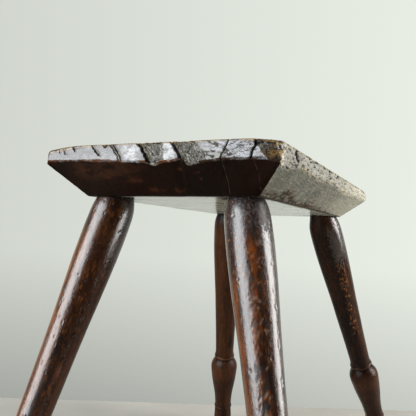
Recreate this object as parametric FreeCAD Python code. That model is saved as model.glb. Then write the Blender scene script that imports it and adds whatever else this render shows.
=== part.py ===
"""Country stool: a thick slab seat, undercut all round, on four splayed turned legs.

The seat is one slab of elm. Its edge is upright for the upper part of the thickness, and below that
a long bevel runs in under the slab on all four sides, so that it looks thin. The grain runs along Y.
The plank is uneven, as hand-sawn ones are. Its underside falls towards the left, and its top falls
towards the left and the back, so it is thickest in front. Its edge stands out a little further on
the left. Its top is flat in the middle and worn down a little along both long sides, and each of its
corners has worn round by a different amount.
Each leg is turned: a shoulder that swells just below the seat, a long taper, a bead and a groove,
a bulb that draws in to a neck, a ring and a small foot. A round tenon on top of the leg
goes right through the slab, and a wedge driven into a saw kerf from above spreads it in its hole.
The wedges lie across the grain, so that they don't split the seat.
The four holes were bored by eye, so no two legs lean alike, and the feet were cut off so that
the top stands level.

Millimetres. +Z is up, and the floor is Z = 0. The short end that faces -Y is the front.
The origin is on the floor under the middle of the whole stool's outline.
The seat and the legs are drawn in the seat's own frame first, with zero in the middle between the legs,
at the height of the underside's right edge, and then tipped a little so that the top is level.
"""
import FreeCAD, Part
import math
import os

from FreeCAD import Placement, Rotation, Vector

# seat
seat_width = 269.5              # along X, without what the left side stands out further
left_overhang = 3.5             # how much further the edge stands out on the left side
seat_length = 424.0             # along Y, the way of the grain
seat_thickness = 46.5           # from the underside's right edge up to the middle of the top
top_rise_across = 4.5           # how much higher the top stands at its right side than at its left
top_fall_along = 5.6            # how much lower it stands at its back end than at its front end
underside_rise_across = 4.4     # how much higher the underside's right edge is than its left edge
sitting_height = 435.0          # from the floor to the flat of the top
bevel_height = 30.0             # from the underside up to where the upright edge starts
undercut = 31.9                 # how far the bevel runs in under the slab
# In plan, where the bevel meets the underside: front right, back right, back left and front left.
underside_corner_radii = (2.0, 14.0, 2.0, 2.0)
arris_corner_radius = 4.0       # in plan, where the bevel meets the upright edge
# In plan, round the top: front right, back right, back left and front left corner.
top_corner_radii = (14.0, 20.0, 16.0, 18.0)
side_wear = 3.5                 # how far the top has sunk along each long side
side_wear_width = 40.0          # how far in from the long sides that wear reaches
top_edge_round = 3.0            # softened arris round the top

# where the legs stand
socket_inset = 24.8             # from the edge of the underside in to the middle of a socket
# How far each leg runs outwards and endways, as shares of its drop.
lean_shares = {
    "front_left": (0.084, 0.390),
    "front_right": (0.304, 0.329),
    "back_left": (0.121, 0.3385),
    "back_right": (0.2035, 0.4965),
}

# turned leg: drops are measured down its axis from the height of the underside's right edge
shoulder_radius = 18.7          # where the leg meets the seat
swell_radius = 24.15
swell_drop = 30.4
shaft_end_radius = 16.2         # thin end of the long taper
shaft_end_drop = 258.8
cove_length = 10.0              # hollow that leads from the taper to the bead
bead_width = 5.0
bead_edge_radius = 16.9
bead_radius = 18.0
groove_width = 3.6
groove_radius = 15.2
bulb_start_radius = 17.0
bulb_radius = 23.25
bulb_drop = 300.9
neck_radius = 14.75
neck_drop = 376.0
ring_width = 4.0
ring_radius = 16.0
foot_radius = 16.1
foot_length = 95.0              # left long on the lathe, then cut off at the floor

# Points that shape the curves between those sizes. In each pair the first share is how far along
# the stretch the point lies, and the second how much of the change in radius is there.
crown_shares = (0.7, 0.84)          # of the shoulder's radius: above the seat line the turning closes in
swell_shares = (0.38, 0.66)         # from the shoulder to the swell
taper_shares = (0.5, 0.5)           # from the swell to the end of the shaft
cove_shares = (0.6, 0.3)            # from the shaft's end to the bead
bulb_rise_shares = (0.3, 0.72)      # from the groove to the bulb's widest place
bulb_fall_shares = ((0.4, 0.44), (0.66, 0.8))   # from there to the neck
foot_share = 0.3                    # how far down the foot it is widest

# tenon and wedge
tenon_radius = 14.0
socket_clearance = 0.1          # gap all round the tenon in its socket
tenon_root = 20.0               # how far down inside the leg the tenon's core is drawn
wedge_depth = 32.0              # down the tenon from the top of the seat
wedge_top_thickness = 3.4
wedge_tip_thickness = 0.8

overrun = 60.0                  # cutters pass the faces that they cut by this much


def rounded_rectangle(width, length, radii, height):
    """A closed wire in the plane Z = height, centred on the Z axis, with a radius for each corner."""
    half_x = width / 2
    half_y = length / 2
    corners = ((1, -1), (1, 1), (-1, 1), (-1, -1))
    arcs = []
    ends = []
    for (side_x, side_y), radius in zip(corners, radii):
        near = radius * (1 - math.sqrt(0.5))
        along_y = Vector(side_x * half_x, side_y * (half_y - radius), height)
        along_x = Vector(side_x * (half_x - radius), side_y * half_y, height)
        middle = Vector(side_x * (half_x - near), side_y * (half_y - near), height)
        first, last = (along_x, along_y) if side_x * side_y < 0 else (along_y, along_x)
        arcs.append(Part.Arc(first, middle, last).toShape())
        ends.append((first, last))
    edges = []
    for number, arc in enumerate(arcs):
        edges.append(arc)
        edges.append(Part.LineSegment(ends[number][1], ends[(number + 1) % len(arcs)][0]).toShape())
    return Part.Wire(edges)


def top_tilt():
    """Upward normal of the flat of the top, in the seat's own frame."""
    normal = Vector(-top_rise_across / seat_width, top_fall_along / seat_length, 1)
    normal.normalize()
    return normal


def underside_tilt():
    """Upward normal of the underside, and a point on its right edge."""
    normal = Vector(-underside_rise_across / (seat_width - 2 * undercut), 0, 1)
    normal.normalize()
    return normal, Vector(seat_width / 2 - undercut, 0, 0)


def laid_under(shape):
    """A shape drawn on or under the level plane Z = 0, turned about the underside's right edge to lie
    in the same way to the sloping underside."""
    normal, pivot = underside_tilt()
    turned = shape.copy()
    turned.translate(pivot * -1)
    turn = Placement(pivot, Rotation(Vector(0, 0, 1), normal))
    turned.Placement = turn.multiply(turned.Placement)
    return turned


def levelled(shape):
    """A shape drawn in the seat's frame, tipped and lifted so that the flat of the top is level."""
    tip = Rotation(top_tilt(), Vector(0, 0, 1))
    lift = Vector(0, 0, sitting_height) - tip.multVec(Vector(0, 0, seat_thickness))
    placed = shape.copy()
    placed.Placement = Placement(lift, tip).multiply(placed.Placement)
    return placed


def leaning_axis(corner):
    """The point where a leg's axis passes zero height, and the way that the leg points, upwards."""
    side_x = -1 if corner.endswith("left") else 1
    side_y = -1 if corner.startswith("front") else 1
    outwards, endways = lean_shares[corner]
    reach_x = seat_width / 2 - undercut - socket_inset
    reach_y = seat_length / 2 - undercut - socket_inset
    upwards = Vector(-side_x * outwards, -side_y * endways, 1)
    upwards.normalize()
    return Vector(side_x * reach_x, side_y * reach_y, 0), upwards


def along_leg(corner):
    """Placement that carries a shape from the lathe, axis on Z and seat at Z = 0, to its place."""
    middle, upwards = leaning_axis(corner)
    return Placement(middle, Rotation(Vector(0, 0, 1), upwards))


def worn_block():
    """A long block whose top is the seat's top: flat in the middle, curving down to both long sides."""
    flat = seat_width / 2 - side_wear_width
    # An arc that leaves the flat without a kink and sinks by the wear at the side of the seat.
    bend = (side_wear_width ** 2 + side_wear ** 2) / (2 * side_wear)
    reach = side_wear_width + left_overhang + side_wear
    points = {}
    for side in (-1, 1):
        for name, run in (("start", 0), ("middle", reach / 2), ("end", reach)):
            sink = bend - math.sqrt(bend ** 2 - run ** 2)
            points[side, name] = Vector(side * (flat + run), 0, -sink)
        points[side, "foot"] = Vector(side * (flat + reach), 0, -2 * seat_thickness)
    edges = [
        Part.LineSegment(points[-1, "start"], points[1, "start"]),
        Part.Arc(points[1, "start"], points[1, "middle"], points[1, "end"]),
        Part.LineSegment(points[1, "end"], points[1, "foot"]),
        Part.LineSegment(points[1, "foot"], points[-1, "foot"]),
        Part.LineSegment(points[-1, "foot"], points[-1, "end"]),
        Part.Arc(points[-1, "end"], points[-1, "middle"], points[-1, "start"]),
    ]
    section = Part.Face(Part.Wire([edge.toShape() for edge in edges]))
    section.translate(Vector(0, -seat_length, 0))
    block = section.extrude(Vector(0, 2 * seat_length, 0))
    block.Placement = Placement(Vector(0, 0, seat_thickness), Rotation(Vector(0, 0, 1), top_tilt()))
    return block


def edge_outline(radii, height):
    """The outline of the plank's edge at a height: it stands out further on the left side."""
    wire = rounded_rectangle(seat_width + left_overhang, seat_length, radii, height)
    wire.translate(Vector(-left_overhang / 2, 0, 0))
    return wire


def on_rim(edge, lowest):
    """True for an edge of the outline round the top, false for the seams within the top."""
    if min(vertex.Z for vertex in edge.Vertexes) < lowest:
        return False
    middle = edge.valueAt((edge.FirstParameter + edge.LastParameter) / 2)
    inside_x = seat_width / 2 - side_wear_width / 2
    inside_y = seat_length / 2 - side_wear_width / 2
    return abs(middle.x) > inside_x or abs(middle.y) > inside_y


def make_seat(seat_space):
    """The slab: bevel, upright edge, worn top with a softened arris and four through sockets."""
    # The upright edge is drawn past the plank's thickest corner and then cut to its top.
    blank_height = seat_thickness + top_rise_across + top_fall_along
    underside = laid_under(rounded_rectangle(seat_width - 2 * undercut, seat_length - 2 * undercut,
                                             underside_corner_radii, 0))
    arris = edge_outline((arris_corner_radius,) * 4, bevel_height)
    top = edge_outline(top_corner_radii, blank_height)
    bevelled = Part.makeLoft([underside, arris], True, True)
    upright = Part.makeLoft([arris, top], True, True)
    slab = bevelled.fuse(upright).common(seat_space)
    rim = [edge for edge in slab.Edges if on_rim(edge, bevel_height + top_edge_round)]
    slab = slab.makeFillet(top_edge_round, rim)
    for corner in lean_shares:
        drill = Part.makeCylinder(tenon_radius + socket_clearance, 2 * seat_thickness + 2 * overrun,
                                  Vector(0, 0, -overrun))
        drill.Placement = along_leg(corner)
        slab = slab.cut(drill)
    return slab


def at(drop, radius):
    """A point on the turning's outline."""
    return Vector(radius, 0, -drop)


def between(start, stop, shares):
    """The (drop, radius) pair that lies the given shares of the way from one pair to another."""
    return tuple(start[item] + shares[item] * (stop[item] - start[item]) for item in (0, 1))


def spline(pairs):
    """A smooth curve through (drop, radius) pairs."""
    curve = Part.BSplineCurve()
    curve.interpolate([at(*pair) for pair in pairs])
    return curve.toShape()


def bow(start, middle, stop):
    """An arc through three (drop, radius) pairs."""
    return Part.Arc(at(*start), at(*middle), at(*stop)).toShape()


def line(start, stop):
    """A straight edge between two (drop, radius) pairs."""
    return Part.LineSegment(at(*start), at(*stop)).toShape()


def make_turning():
    """The leg as it comes off the lathe, with no tenon: axis on Z, seat end at Z = 0."""
    crown = (-shoulder_radius * crown_shares[0], shoulder_radius * crown_shares[1])
    shoulder = (0, shoulder_radius)
    swell = (swell_drop, swell_radius)
    shaft_end = (shaft_end_drop, shaft_end_radius)
    bead_start = (shaft_end_drop + cove_length, bead_edge_radius)
    bead_middle = (bead_start[0] + bead_width / 2, bead_radius)
    bead_stop = (bead_start[0] + bead_width, bead_edge_radius)
    groove_middle = (bead_stop[0] + groove_width / 2, groove_radius)
    bulb_start = (bead_stop[0] + groove_width, bulb_start_radius)
    bulb = (bulb_drop, bulb_radius)
    neck = (neck_drop, neck_radius)
    ring_middle = (neck_drop + ring_width / 2, ring_radius)
    foot_start = (neck_drop + ring_width, neck_radius)
    foot_middle = (foot_start[0] + foot_length * foot_share, foot_radius)
    foot_stop = (foot_start[0] + foot_length, neck_radius)
    outline = [
        line((crown[0], 0), crown),
        spline([crown, shoulder, between(shoulder, swell, swell_shares), swell,
                between(swell, shaft_end, taper_shares), shaft_end]),
        bow(shaft_end, between(shaft_end, bead_start, cove_shares), bead_start),
        bow(bead_start, bead_middle, bead_stop),
        bow(bead_stop, groove_middle, bulb_start),
        spline([bulb_start, between(bulb_start, bulb, bulb_rise_shares), bulb,
                between(bulb, neck, bulb_fall_shares[0]), between(bulb, neck, bulb_fall_shares[1]), neck]),
        bow(neck, ring_middle, foot_start),
        spline([foot_start, foot_middle, foot_stop]),
        line(foot_stop, (foot_stop[0], 0)),
        line((foot_stop[0], 0), (crown[0], 0)),
    ]
    face = Part.Face(Part.Wire(outline))
    return face.revolve(Vector(0, 0, 0), Vector(0, 0, 1), 360)


def block_between(low, high):
    """A block wider than the stool that reaches from one height to another."""
    reach = seat_length + seat_width + sitting_height
    block = Part.makeBox(2 * reach, 2 * reach, high - low)
    block.translate(Vector(-reach, -reach, low))
    return block


def make_kerf():
    """The tapered slot that the wedge fills, drawn on the leg's own axis and longer than it needs."""
    slope = (wedge_top_thickness - wedge_tip_thickness) / wedge_depth
    low = seat_thickness - wedge_depth
    high = seat_thickness + overrun
    half_low = wedge_tip_thickness / 2
    half_high = (wedge_top_thickness + slope * overrun) / 2
    corners = [(-half_low, low), (half_low, low), (half_high, high), (-half_high, high), (-half_low, low)]
    section = Part.makePolygon([Vector(-2 * tenon_radius, across, along) for across, along in corners])
    return Part.Face(section).extrude(Vector(4 * tenon_radius, 0, 0))


def make_leg(turning, kerf, seat_space, corner):
    """One leg in the seat's frame: cut to the underside, with its tenon split by the kerf."""
    place = along_leg(corner)
    shank = turning.copy()
    shank.Placement = place
    shank = shank.common(laid_under(block_between(-2 * sitting_height, 0)))
    tenon = Part.makeCylinder(tenon_radius, tenon_root + seat_thickness + overrun,
                              Vector(0, 0, -tenon_root))
    tenon.Placement = place
    tenon = tenon.common(seat_space)
    slot = kerf.copy()
    slot.Placement = place
    return shank.fuse(tenon).cut(slot)


def make_wedge(kerf, seat_space, corner):
    """The wedge of one leg, trimmed flush with the tenon and with the top of the seat."""
    wedge = kerf.common(Part.makeCylinder(tenon_radius, seat_thickness + overrun))
    wedge.Placement = along_leg(corner)
    return wedge.common(seat_space)


def middle_of_outline(shapes):
    """The point on the floor under the middle of the box round all the shapes."""
    boxes = [shape.optimalBoundingBox(False, False) for shape in shapes]
    middle_x = (min(box.XMin for box in boxes) + max(box.XMax for box in boxes)) / 2
    middle_y = (min(box.YMin for box in boxes) + max(box.YMax for box in boxes)) / 2
    return Vector(middle_x, middle_y, 0)


def build():
    """Every piece by name, level on its feet and moved so that the origin is under its middle."""
    turning = make_turning()
    kerf = make_kerf()
    # Tenons and wedges were trimmed with the seat, so they end at its worn top.
    seat_space = worn_block()
    above_floor = block_between(0, 2 * sitting_height)
    pieces = {"seat": levelled(make_seat(seat_space))}
    for corner in lean_shares:
        leg = make_leg(turning, kerf, seat_space, corner)
        pieces["leg_" + corner] = levelled(leg).common(above_floor)
        pieces["wedge_" + corner] = levelled(make_wedge(kerf, seat_space, corner))
    shift = middle_of_outline(pieces.values()) * -1
    for shape in pieces.values():
        shape.translate(shift)
    middle = levelled(Part.Vertex(0, 0, 0)).Point + shift
    print("zero of the seat's own frame is at %.4f, %.4f, %.4f" % tuple(middle))
    return pieces


os.makedirs("parts", exist_ok=True)
for piece_name, piece in build().items():
    assert piece.isValid() and len(piece.Solids) == 1, piece_name
    piece.Solids[0].exportStep("parts/" + piece_name + ".step")
    box = piece.optimalBoundingBox(False, False)
    print("%-18s volume %9.0f mm3, Z %.1f to %.1f" % (piece_name, piece.Volume, box.ZMin, box.ZMax))
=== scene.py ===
# %% [markdown]
# # A slab stool on four turned legs
# The stool is one thick plank, undercut all round by a long bevel, on four splayed legs that go right
# through it and are wedged from above. The solids that the checks used are loaded first, as a fixed
# frame in metres: +Z is up, Y runs along the plank's grain and the floor is at Z = 0. Every piece made
# here stands for one of those solids, in the same place and of the same size, but with the wear, the
# splits and the polish that a drawing leaves out.

# %% Load the solids
import math
from types import SimpleNamespace

import bpy
import mathutils
import numpy as np
from mathutils import Matrix, Vector


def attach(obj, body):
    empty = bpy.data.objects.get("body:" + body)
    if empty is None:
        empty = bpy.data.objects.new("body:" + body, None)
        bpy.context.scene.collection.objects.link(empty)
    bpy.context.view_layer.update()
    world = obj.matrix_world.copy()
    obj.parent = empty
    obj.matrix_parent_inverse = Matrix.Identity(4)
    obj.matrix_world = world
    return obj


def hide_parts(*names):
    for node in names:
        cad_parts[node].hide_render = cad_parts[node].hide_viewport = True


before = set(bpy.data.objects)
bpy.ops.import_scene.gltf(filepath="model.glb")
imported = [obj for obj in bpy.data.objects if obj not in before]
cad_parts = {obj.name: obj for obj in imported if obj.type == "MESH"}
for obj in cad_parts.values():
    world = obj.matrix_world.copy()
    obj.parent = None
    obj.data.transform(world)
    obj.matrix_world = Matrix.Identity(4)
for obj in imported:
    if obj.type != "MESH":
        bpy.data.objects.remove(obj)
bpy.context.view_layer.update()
print("solids:", sorted(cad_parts))

# %% [markdown]
# ## The viewpoint
# The stool was seen from just under the height of its seat, so that the undercut shows and the top
# doesn't. A camera is a place and three directions, and giving those directly is the surest way to stand
# it where the photographer stood, with the slight tilt of a hand-held picture.

# %% Stand the camera low in front of the stool
eye = Vector((0.25468, -0.67873, 0.33762))
sideways = Vector((0.89619, 0.44055, 0.05267)).normalized()
upwards = Vector((-0.01755, -0.08332, 0.99637))
backwards = sideways.cross(upwards).normalized()
upwards = backwards.cross(sideways)
camera_data = bpy.data.cameras.new("low_viewpoint")
camera_data.sensor_width = 36
camera_data.lens = 45.87
camera = bpy.data.objects.new("low_viewpoint", camera_data)
turn = Matrix((sideways, upwards, backwards)).transposed().to_4x4()
camera.matrix_world = Matrix.Translation(eye) @ turn
bpy.context.scene.collection.objects.link(camera)
bpy.context.scene.camera = camera
bpy.context.scene.view_settings.view_transform = "Standard"
print("camera height:", round(eye.z, 3), "m")

# %% [markdown]
# ## Node helpers
# Each finish below is a small graph of nodes. Helpers that add a node and set its inputs in one line,
# from plain values or from other nodes' outputs, let a graph read like a list of its parts. The last
# turns a tone as the eye names it, 0 to 255, into the linear light that shaders count in.


# %% Helpers for nodes and tones
def add(tree, kind, inputs=None, **settings):
    made = tree.nodes.new("ShaderNode" + kind)
    for name, value in settings.items():
        setattr(made, name, value)
    for name, value in (inputs or {}).items():
        socket = made.inputs[name]
        if isinstance(value, bpy.types.NodeSocket):
            tree.links.new(value, socket)
        else:
            socket.default_value = value
    return made


def calc(tree, operation, *values, kind="Math", **settings):
    """Output of a sum on values or on other nodes' outputs."""
    made = add(tree, kind, dict(enumerate(values)), operation=operation, **settings)
    return made.outputs["Value" if operation == "DOT_PRODUCT" else 0]


def remap(tree, value, low, high, to_low=0.0, to_high=1.0):
    """Output of a node that carries one range of values to another."""
    ranges = {"Value": value, "From Min": low, "From Max": high, "To Min": to_low, "To Max": to_high}
    return add(tree, "MapRange", ranges).outputs[0]


def tone(red, green, blue):
    shares = np.array([red, green, blue]) / 255
    return np.where(shares > 0.04045, ((shares + 0.055) / 1.055) ** 2.4, shares / 12.92)


print("mid grey is", tone(128, 128, 128)[0].round(3), "in linear light")

# %% [markdown]
# ## The room
# The photograph was taken against a pale grey-green wall that grows darker to the left and towards the
# floor. The surrounding world does that job here, with a tone worked out from how far a direction points
# right and up. The room behind the photographer was darker, and polished wood mirrors it, so the light
# that reaches the wood is dimmed on that side, while the backdrop itself stays pale from all sides.

# %% Paint the surrounding wall
world = bpy.data.worlds.new("pale_wall")
bpy.context.scene.world = world
world.use_nodes = True
wall = world.node_tree
wall.nodes.clear()
way = add(wall, "TexCoord").outputs["Generated"]
across = calc(wall, "DOT_PRODUCT", way, (0.8962, 0.4405, 0.0), kind="VectorMath")
ahead = calc(wall, "DOT_PRODUCT", way, (-0.4433, 0.8939, 0.0), kind="VectorMath")
height = add(wall, "SeparateXYZ", {0: way}).outputs["Z"]
from_right = calc(wall, "MULTIPLY_ADD", across, 0.25, 0.765)
low_part = calc(wall, "SUBTRACT", height, -0.03)
low_part = calc(wall, "MINIMUM", low_part, 0.0)
low_part = calc(wall, "MAXIMUM", low_part, -0.3)
brightness = calc(wall, "MULTIPLY_ADD", low_part, 1.2, from_right)
on_wood = calc(wall, "MULTIPLY", brightness, remap(wall, ahead, 0.0, 0.8, 0.06))
seen = add(wall, "LightPath").outputs["Is Camera Ray"]
strength = add(wall, "Mix", {"Factor": seen, "A": on_wood, "B": brightness}, data_type="FLOAT")
light = add(wall, "Background", {"Color": (0.955, 1.0, 0.92, 1.0), "Strength": strength.outputs["Result"]})
add(wall, "OutputWorld", {"Surface": light.outputs[0]})
print("wall:", len(wall.nodes), "nodes")

# %% [markdown]
# ## The floor
# A plain pale slab carries the stool, with its back edge where the wall met the floor in the photograph,
# a little over a metre from the camera. A faint mottling keeps it from looking like paper.

# %% Lay the floor
floor_corners = [(-1.667, -0.482), (1.22, 1.203), (3.0, -1.85), (0.1, -3.5)]
floor_thickness = 0.03
floor_mesh = bpy.data.meshes.new("floor")
rims = [(x, y, z) for z in (0.0, -floor_thickness) for x, y in floor_corners]
sides = [(0, 4, 5, 1), (1, 5, 6, 2), (2, 6, 7, 3), (3, 7, 4, 0)]
floor_mesh.from_pydata(rims, [], [(3, 2, 1, 0), (4, 5, 6, 7)] + sides)
floor_mesh.validate()
floor = bpy.data.objects.new("floor", floor_mesh)
bpy.context.scene.collection.objects.link(floor)
print("floor corners:", floor_corners)

# %% Mottle the floor
floor_finish = bpy.data.materials.new("pale_floor")
floor_finish.use_nodes = True
graph = floor_finish.node_tree
surface = graph.nodes["Principled BSDF"]
surface.inputs["Roughness"].default_value = 0.7
place = add(graph, "TexCoord").outputs["Object"]
mottle = add(graph, "TexNoise", {"Vector": place, "Scale": 6.0, "Detail": 5.0})
shades = add(graph, "ValToRGB", {"Fac": mottle.outputs["Fac"]})
for stop, position, shade in zip(shades.color_ramp.elements, (0.3, 0.7), ((136, 133, 126), (148, 145, 138))):
    stop.position = position
    stop.color = (*tone(*shade), 1.0)
graph.links.new(shades.outputs["Color"], surface.inputs["Base Color"])
floor_mesh.materials.append(floor_finish)
print("floor finish:", len(graph.nodes), "nodes")

# %% [markdown]
# ## The lights
# The polished front edge mirrors something large, cool and bright, above and to the left of the camera,
# and the legs carry it as one long streak in their left third. The mirror rule finds its place: light
# comes in at the angle at which the view leaves. A tall light on the right makes the second, thinner
# streak, and a weak one overhead stands for the ceiling.


# %% Hang three soft lights
def softbox(name, place, target, width, height, power, color):
    data = bpy.data.lights.new(name, "AREA")
    data.shape = "RECTANGLE"
    data.size, data.size_y = width, height
    data.energy = power
    data.color = color
    lamp = bpy.data.objects.new(name, data)
    lamp.location = place
    lamp.rotation_euler = (Vector(target) - Vector(place)).to_track_quat("-Z", "Y").to_euler()
    bpy.context.scene.collection.objects.link(lamp)
    return lamp


# Name, place, what it points at, width and height in metres, power in watts, and color.
for lamp in (
    softbox("window", (-0.98, -1.5, 0.95), (0, -0.1, 0.35), 1.4, 1.5, 92, (0.94, 0.97, 1.0)),
    softbox("side_light", (1.4, 0.5, 0.95), (0, 0, 0.35), 0.85, 1.4, 62, (1.0, 0.99, 0.97)),
    softbox("ceiling", (0.2, 0.1, 2.2), (0, 0, 0.4), 1.6, 1.6, 10, (1.0, 1.0, 0.98)),
):
    print(lamp.name, round(lamp.data.energy), "W")

# %% [markdown]
# ## Unevenness
# Old wood is never quite flat. A seeded lattice of random numbers, blended smoothly from point to
# point, gives the same dents and waves on every run. Finer and weaker layers make them look worn.


# %% Seeded unevenness
def unevenness(points, size, seed, layers=2):
    """Smooth noise between about -1 and 1 at points in millimetres, with bumps about as wide as size."""
    total, weight = 0.0, 0.0
    for layer in range(layers):
        lattice = np.random.default_rng(seed * 17 + layer).uniform(-1, 1, (32, 32, 32))
        place = points / np.asarray(size) * 2**layer + 320.0
        whole = np.floor(place).astype(int)
        share = place - whole
        share = share * share * (3 - 2 * share)
        value = 0.0
        for corner in np.ndindex(2, 2, 2):
            cell = (whole + np.array(corner)) % 32
            reach = np.prod(np.where(corner, share, 1 - share), axis=-1)
            value = value + lattice[cell[..., 0], cell[..., 1], cell[..., 2]] * reach
        total = total + value * 0.5**layer
        weight += 0.5**layer
    return total / weight * 1.6


def ramp(values, low, high):
    """0 below low, 1 above high and a smooth rise between them."""
    share = np.clip((values - low) / (high - low), 0, 1)
    return share * share * (3 - 2 * share)


trial = unevenness(np.random.default_rng(1).uniform(0, 400, (2000, 3)), 20, 5)
print("unevenness runs from", trial.min().round(2), "to", trial.max().round(2))

# %% [markdown]
# ## The plank's own frame
# The plank was sawn unevenly, so it is easiest to measure in a frame of its own: millimetres from the
# middle between the legs, at the height of the underside's right edge, x to the right, y to the back and
# z up. One turn and one shift then carry the finished points to the standing stool.

# %% From the plank's frame to the standing stool
thickness, half_width, half_length = 46.5, 134.75, 212.0
undercut, bevel_height, under_half_width = 31.9, 30.0, 102.85
side_wear, side_wear_width = 3.5, 40.0
top_fall_left, top_fall_back, under_fall_left = 4.5, 5.6, 4.4
rise_across = top_fall_left / (2 * half_width)
fall_along = top_fall_back / (2 * half_length)
under_rise = under_fall_left / (2 * under_half_width)
square_up = Vector((-rise_across, fall_along, 1.0)).normalized()
tip = np.array(square_up.rotation_difference(Vector((0, 0, 1))).to_matrix())
stand_at = np.array((-27.9113, -26.9735, 388.5105))


def on_the_floor(points):
    """Points from the plank's frame, carried to the standing stool, still in millimetres."""
    return points @ tip.T + stand_at


def top_height(x, y):
    """How high the top lies above the underside's plane: uneven, and worn down along both long sides."""
    bend = (side_wear_width**2 + side_wear**2) / (2 * side_wear)
    run = np.minimum(np.maximum(np.abs(x) - (half_width - side_wear_width), 0), bend * 0.9)
    return thickness + rise_across * x - fall_along * y - (bend - np.sqrt(bend**2 - run**2))


def under_height(x):
    """How high the underside lies: it falls towards the left."""
    return under_rise * (x - under_half_width)


print("middle of the top stands at", on_the_floor(np.array([[0, 0, thickness]]))[0].round(1), "mm")

# %% [markdown]
# ## The legs' places
# Each socket was bored by eye, so each leg has a lean of its own. A leg is described by the middle of
# its socket, its axis, and two directions square to the axis, which carry its round section. The socket
# leans with it, so it opens in the top and in the underside as a slanting round: each point of its wall
# is carried along the axis until it meets that face.

# %% Where each leg stands
leans = {
    "front_left": (-1, -1, 0.084, 0.390), "front_right": (1, -1, 0.304, 0.329),
    "back_left": (-1, 1, 0.121, 0.3385), "back_right": (1, 1, 0.2035, 0.4965),
}
across_to_socket, along_to_socket = 78.05, 155.3
tenon_radius, socket_radius = 14.0, 14.1
leg_places = {}
for corner, (side_x, side_y, out, end) in leans.items():
    axis = Vector((-side_x * out, -side_y * end, 1)).normalized()
    spin = np.array(Vector((0, 0, 1)).rotation_difference(axis).to_matrix())
    leg_places[corner] = (np.array([side_x * across_to_socket, side_y * along_to_socket, 0.0]), spin)
    print(corner, "leans", round(math.degrees(axis.angle(Vector((0, 0, 1)))), 1), "degrees")


# %% Points round a socket
def round_a_leg(corner, count):
    """Angles round a leg, and at each of them the direction that points straight out of the leg."""
    spin = leg_places[corner][1]
    angles = np.linspace(0, 2 * np.pi, count, endpoint=False)
    return angles, np.outer(np.cos(angles), spin[:, 0]) + np.outer(np.sin(angles), spin[:, 1])


def way_to_top(points, axis, below=0.0):
    """How far points must go along an axis to reach the flat of the top, or so far below it."""
    gap = thickness - below + rise_across * points[:, 0] - fall_along * points[:, 1] - points[:, 2]
    return gap / (axis[2] - rise_across * axis[0] + fall_along * axis[1])


def socket_mouth(corner, on_top, count=72):
    """Points round a leg's socket where it opens in the top or in the underside."""
    foot, spin = leg_places[corner]
    axis = spin[:, 2]
    rim = foot + socket_radius * round_a_leg(corner, count)[1]
    if on_top:
        return rim + np.outer(way_to_top(rim, axis), axis)
    gap = under_height(rim[:, 0]) - rim[:, 2]
    return rim + np.outer(gap / (axis[2] - under_rise * axis[0]), axis)


top_mouths = [socket_mouth(corner, True) for corner in leans]
under_mouths = [socket_mouth(corner, False) for corner in leans]
print("a socket is", np.ptp(top_mouths[0], axis=0)[:2].round(1), "mm wide and long at the top")

# %% [markdown]
# ## The plank's edge as a woven grid
# Walking once round the plank, its edge has the same section everywhere: a softened top arris, an
# upright band, a lower arris and a long bevel. So the edge is woven as a grid, with columns round the
# outline and rows down the section. Three outlines guide it: at the top, at the lower arris and at the
# underside, each a rectangle whose corners are rounded by its own amounts.


# %% Outlines round the plank
left_overhang = 3.5
# Radii of the front left, front right, back right and back left corners.
top_radii, arris_radii, under_radii = (8.0, 12.0, 20.0, 16.0), (2.0, 1.5, 4.0, 4.0), (2.0, 2.0, 14.0, 2.0)
side_steps, corner_steps = (540, 420, 200, 260), 18


def outline(half_x, half_y, radii):
    """Points and outward directions round a rectangle, from the left end of its front side on."""
    signs = ((-1, -1), (1, -1), (1, 1), (-1, 1))
    centres = [np.array([sx * (half_x - r), sy * (half_y - r)]) for (sx, sy), r in zip(signs, radii)]
    points, facing = [], []
    for side in range(4):
        ahead = (side + 1) % 4
        away = np.array([(0, -1), (1, 0), (0, 1), (-1, 0)][side], float)
        start = centres[side] + radii[side] * away
        stop = centres[ahead] + radii[ahead] * away
        for share in np.linspace(0, 1, side_steps[side], endpoint=False):
            points.append(start + share * (stop - start))
            facing.append(away)
        first = math.radians(-90 + 90 * side)
        for share in np.linspace(0, 1, corner_steps, endpoint=False):
            angle = first + share * math.pi / 2
            away = np.array([math.cos(angle), math.sin(angle)])
            points.append(centres[ahead] + radii[ahead] * away)
            facing.append(away)
    return np.array(points), np.array(facing)


wide = half_width + left_overhang / 2
further_left = np.array((-left_overhang / 2, 0.0))
top_line, facing = outline(wide, half_length, top_radii)
arris_line, _ = outline(wide, half_length, arris_radii)
top_line, arris_line = top_line + further_left, arris_line + further_left
under_line, _ = outline(half_width - undercut, half_length - undercut, under_radii)
print("columns round the plank:", len(top_line))

# %% [markdown]
# ## The wavy lower arris
# The arris between the band and the bevel was chopped by eye and has worn ever since. Its height was
# measured here and there along the front and the right side, and a smooth line through those heights
# leads it. The two sides that nobody saw get a gentle wave.


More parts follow.
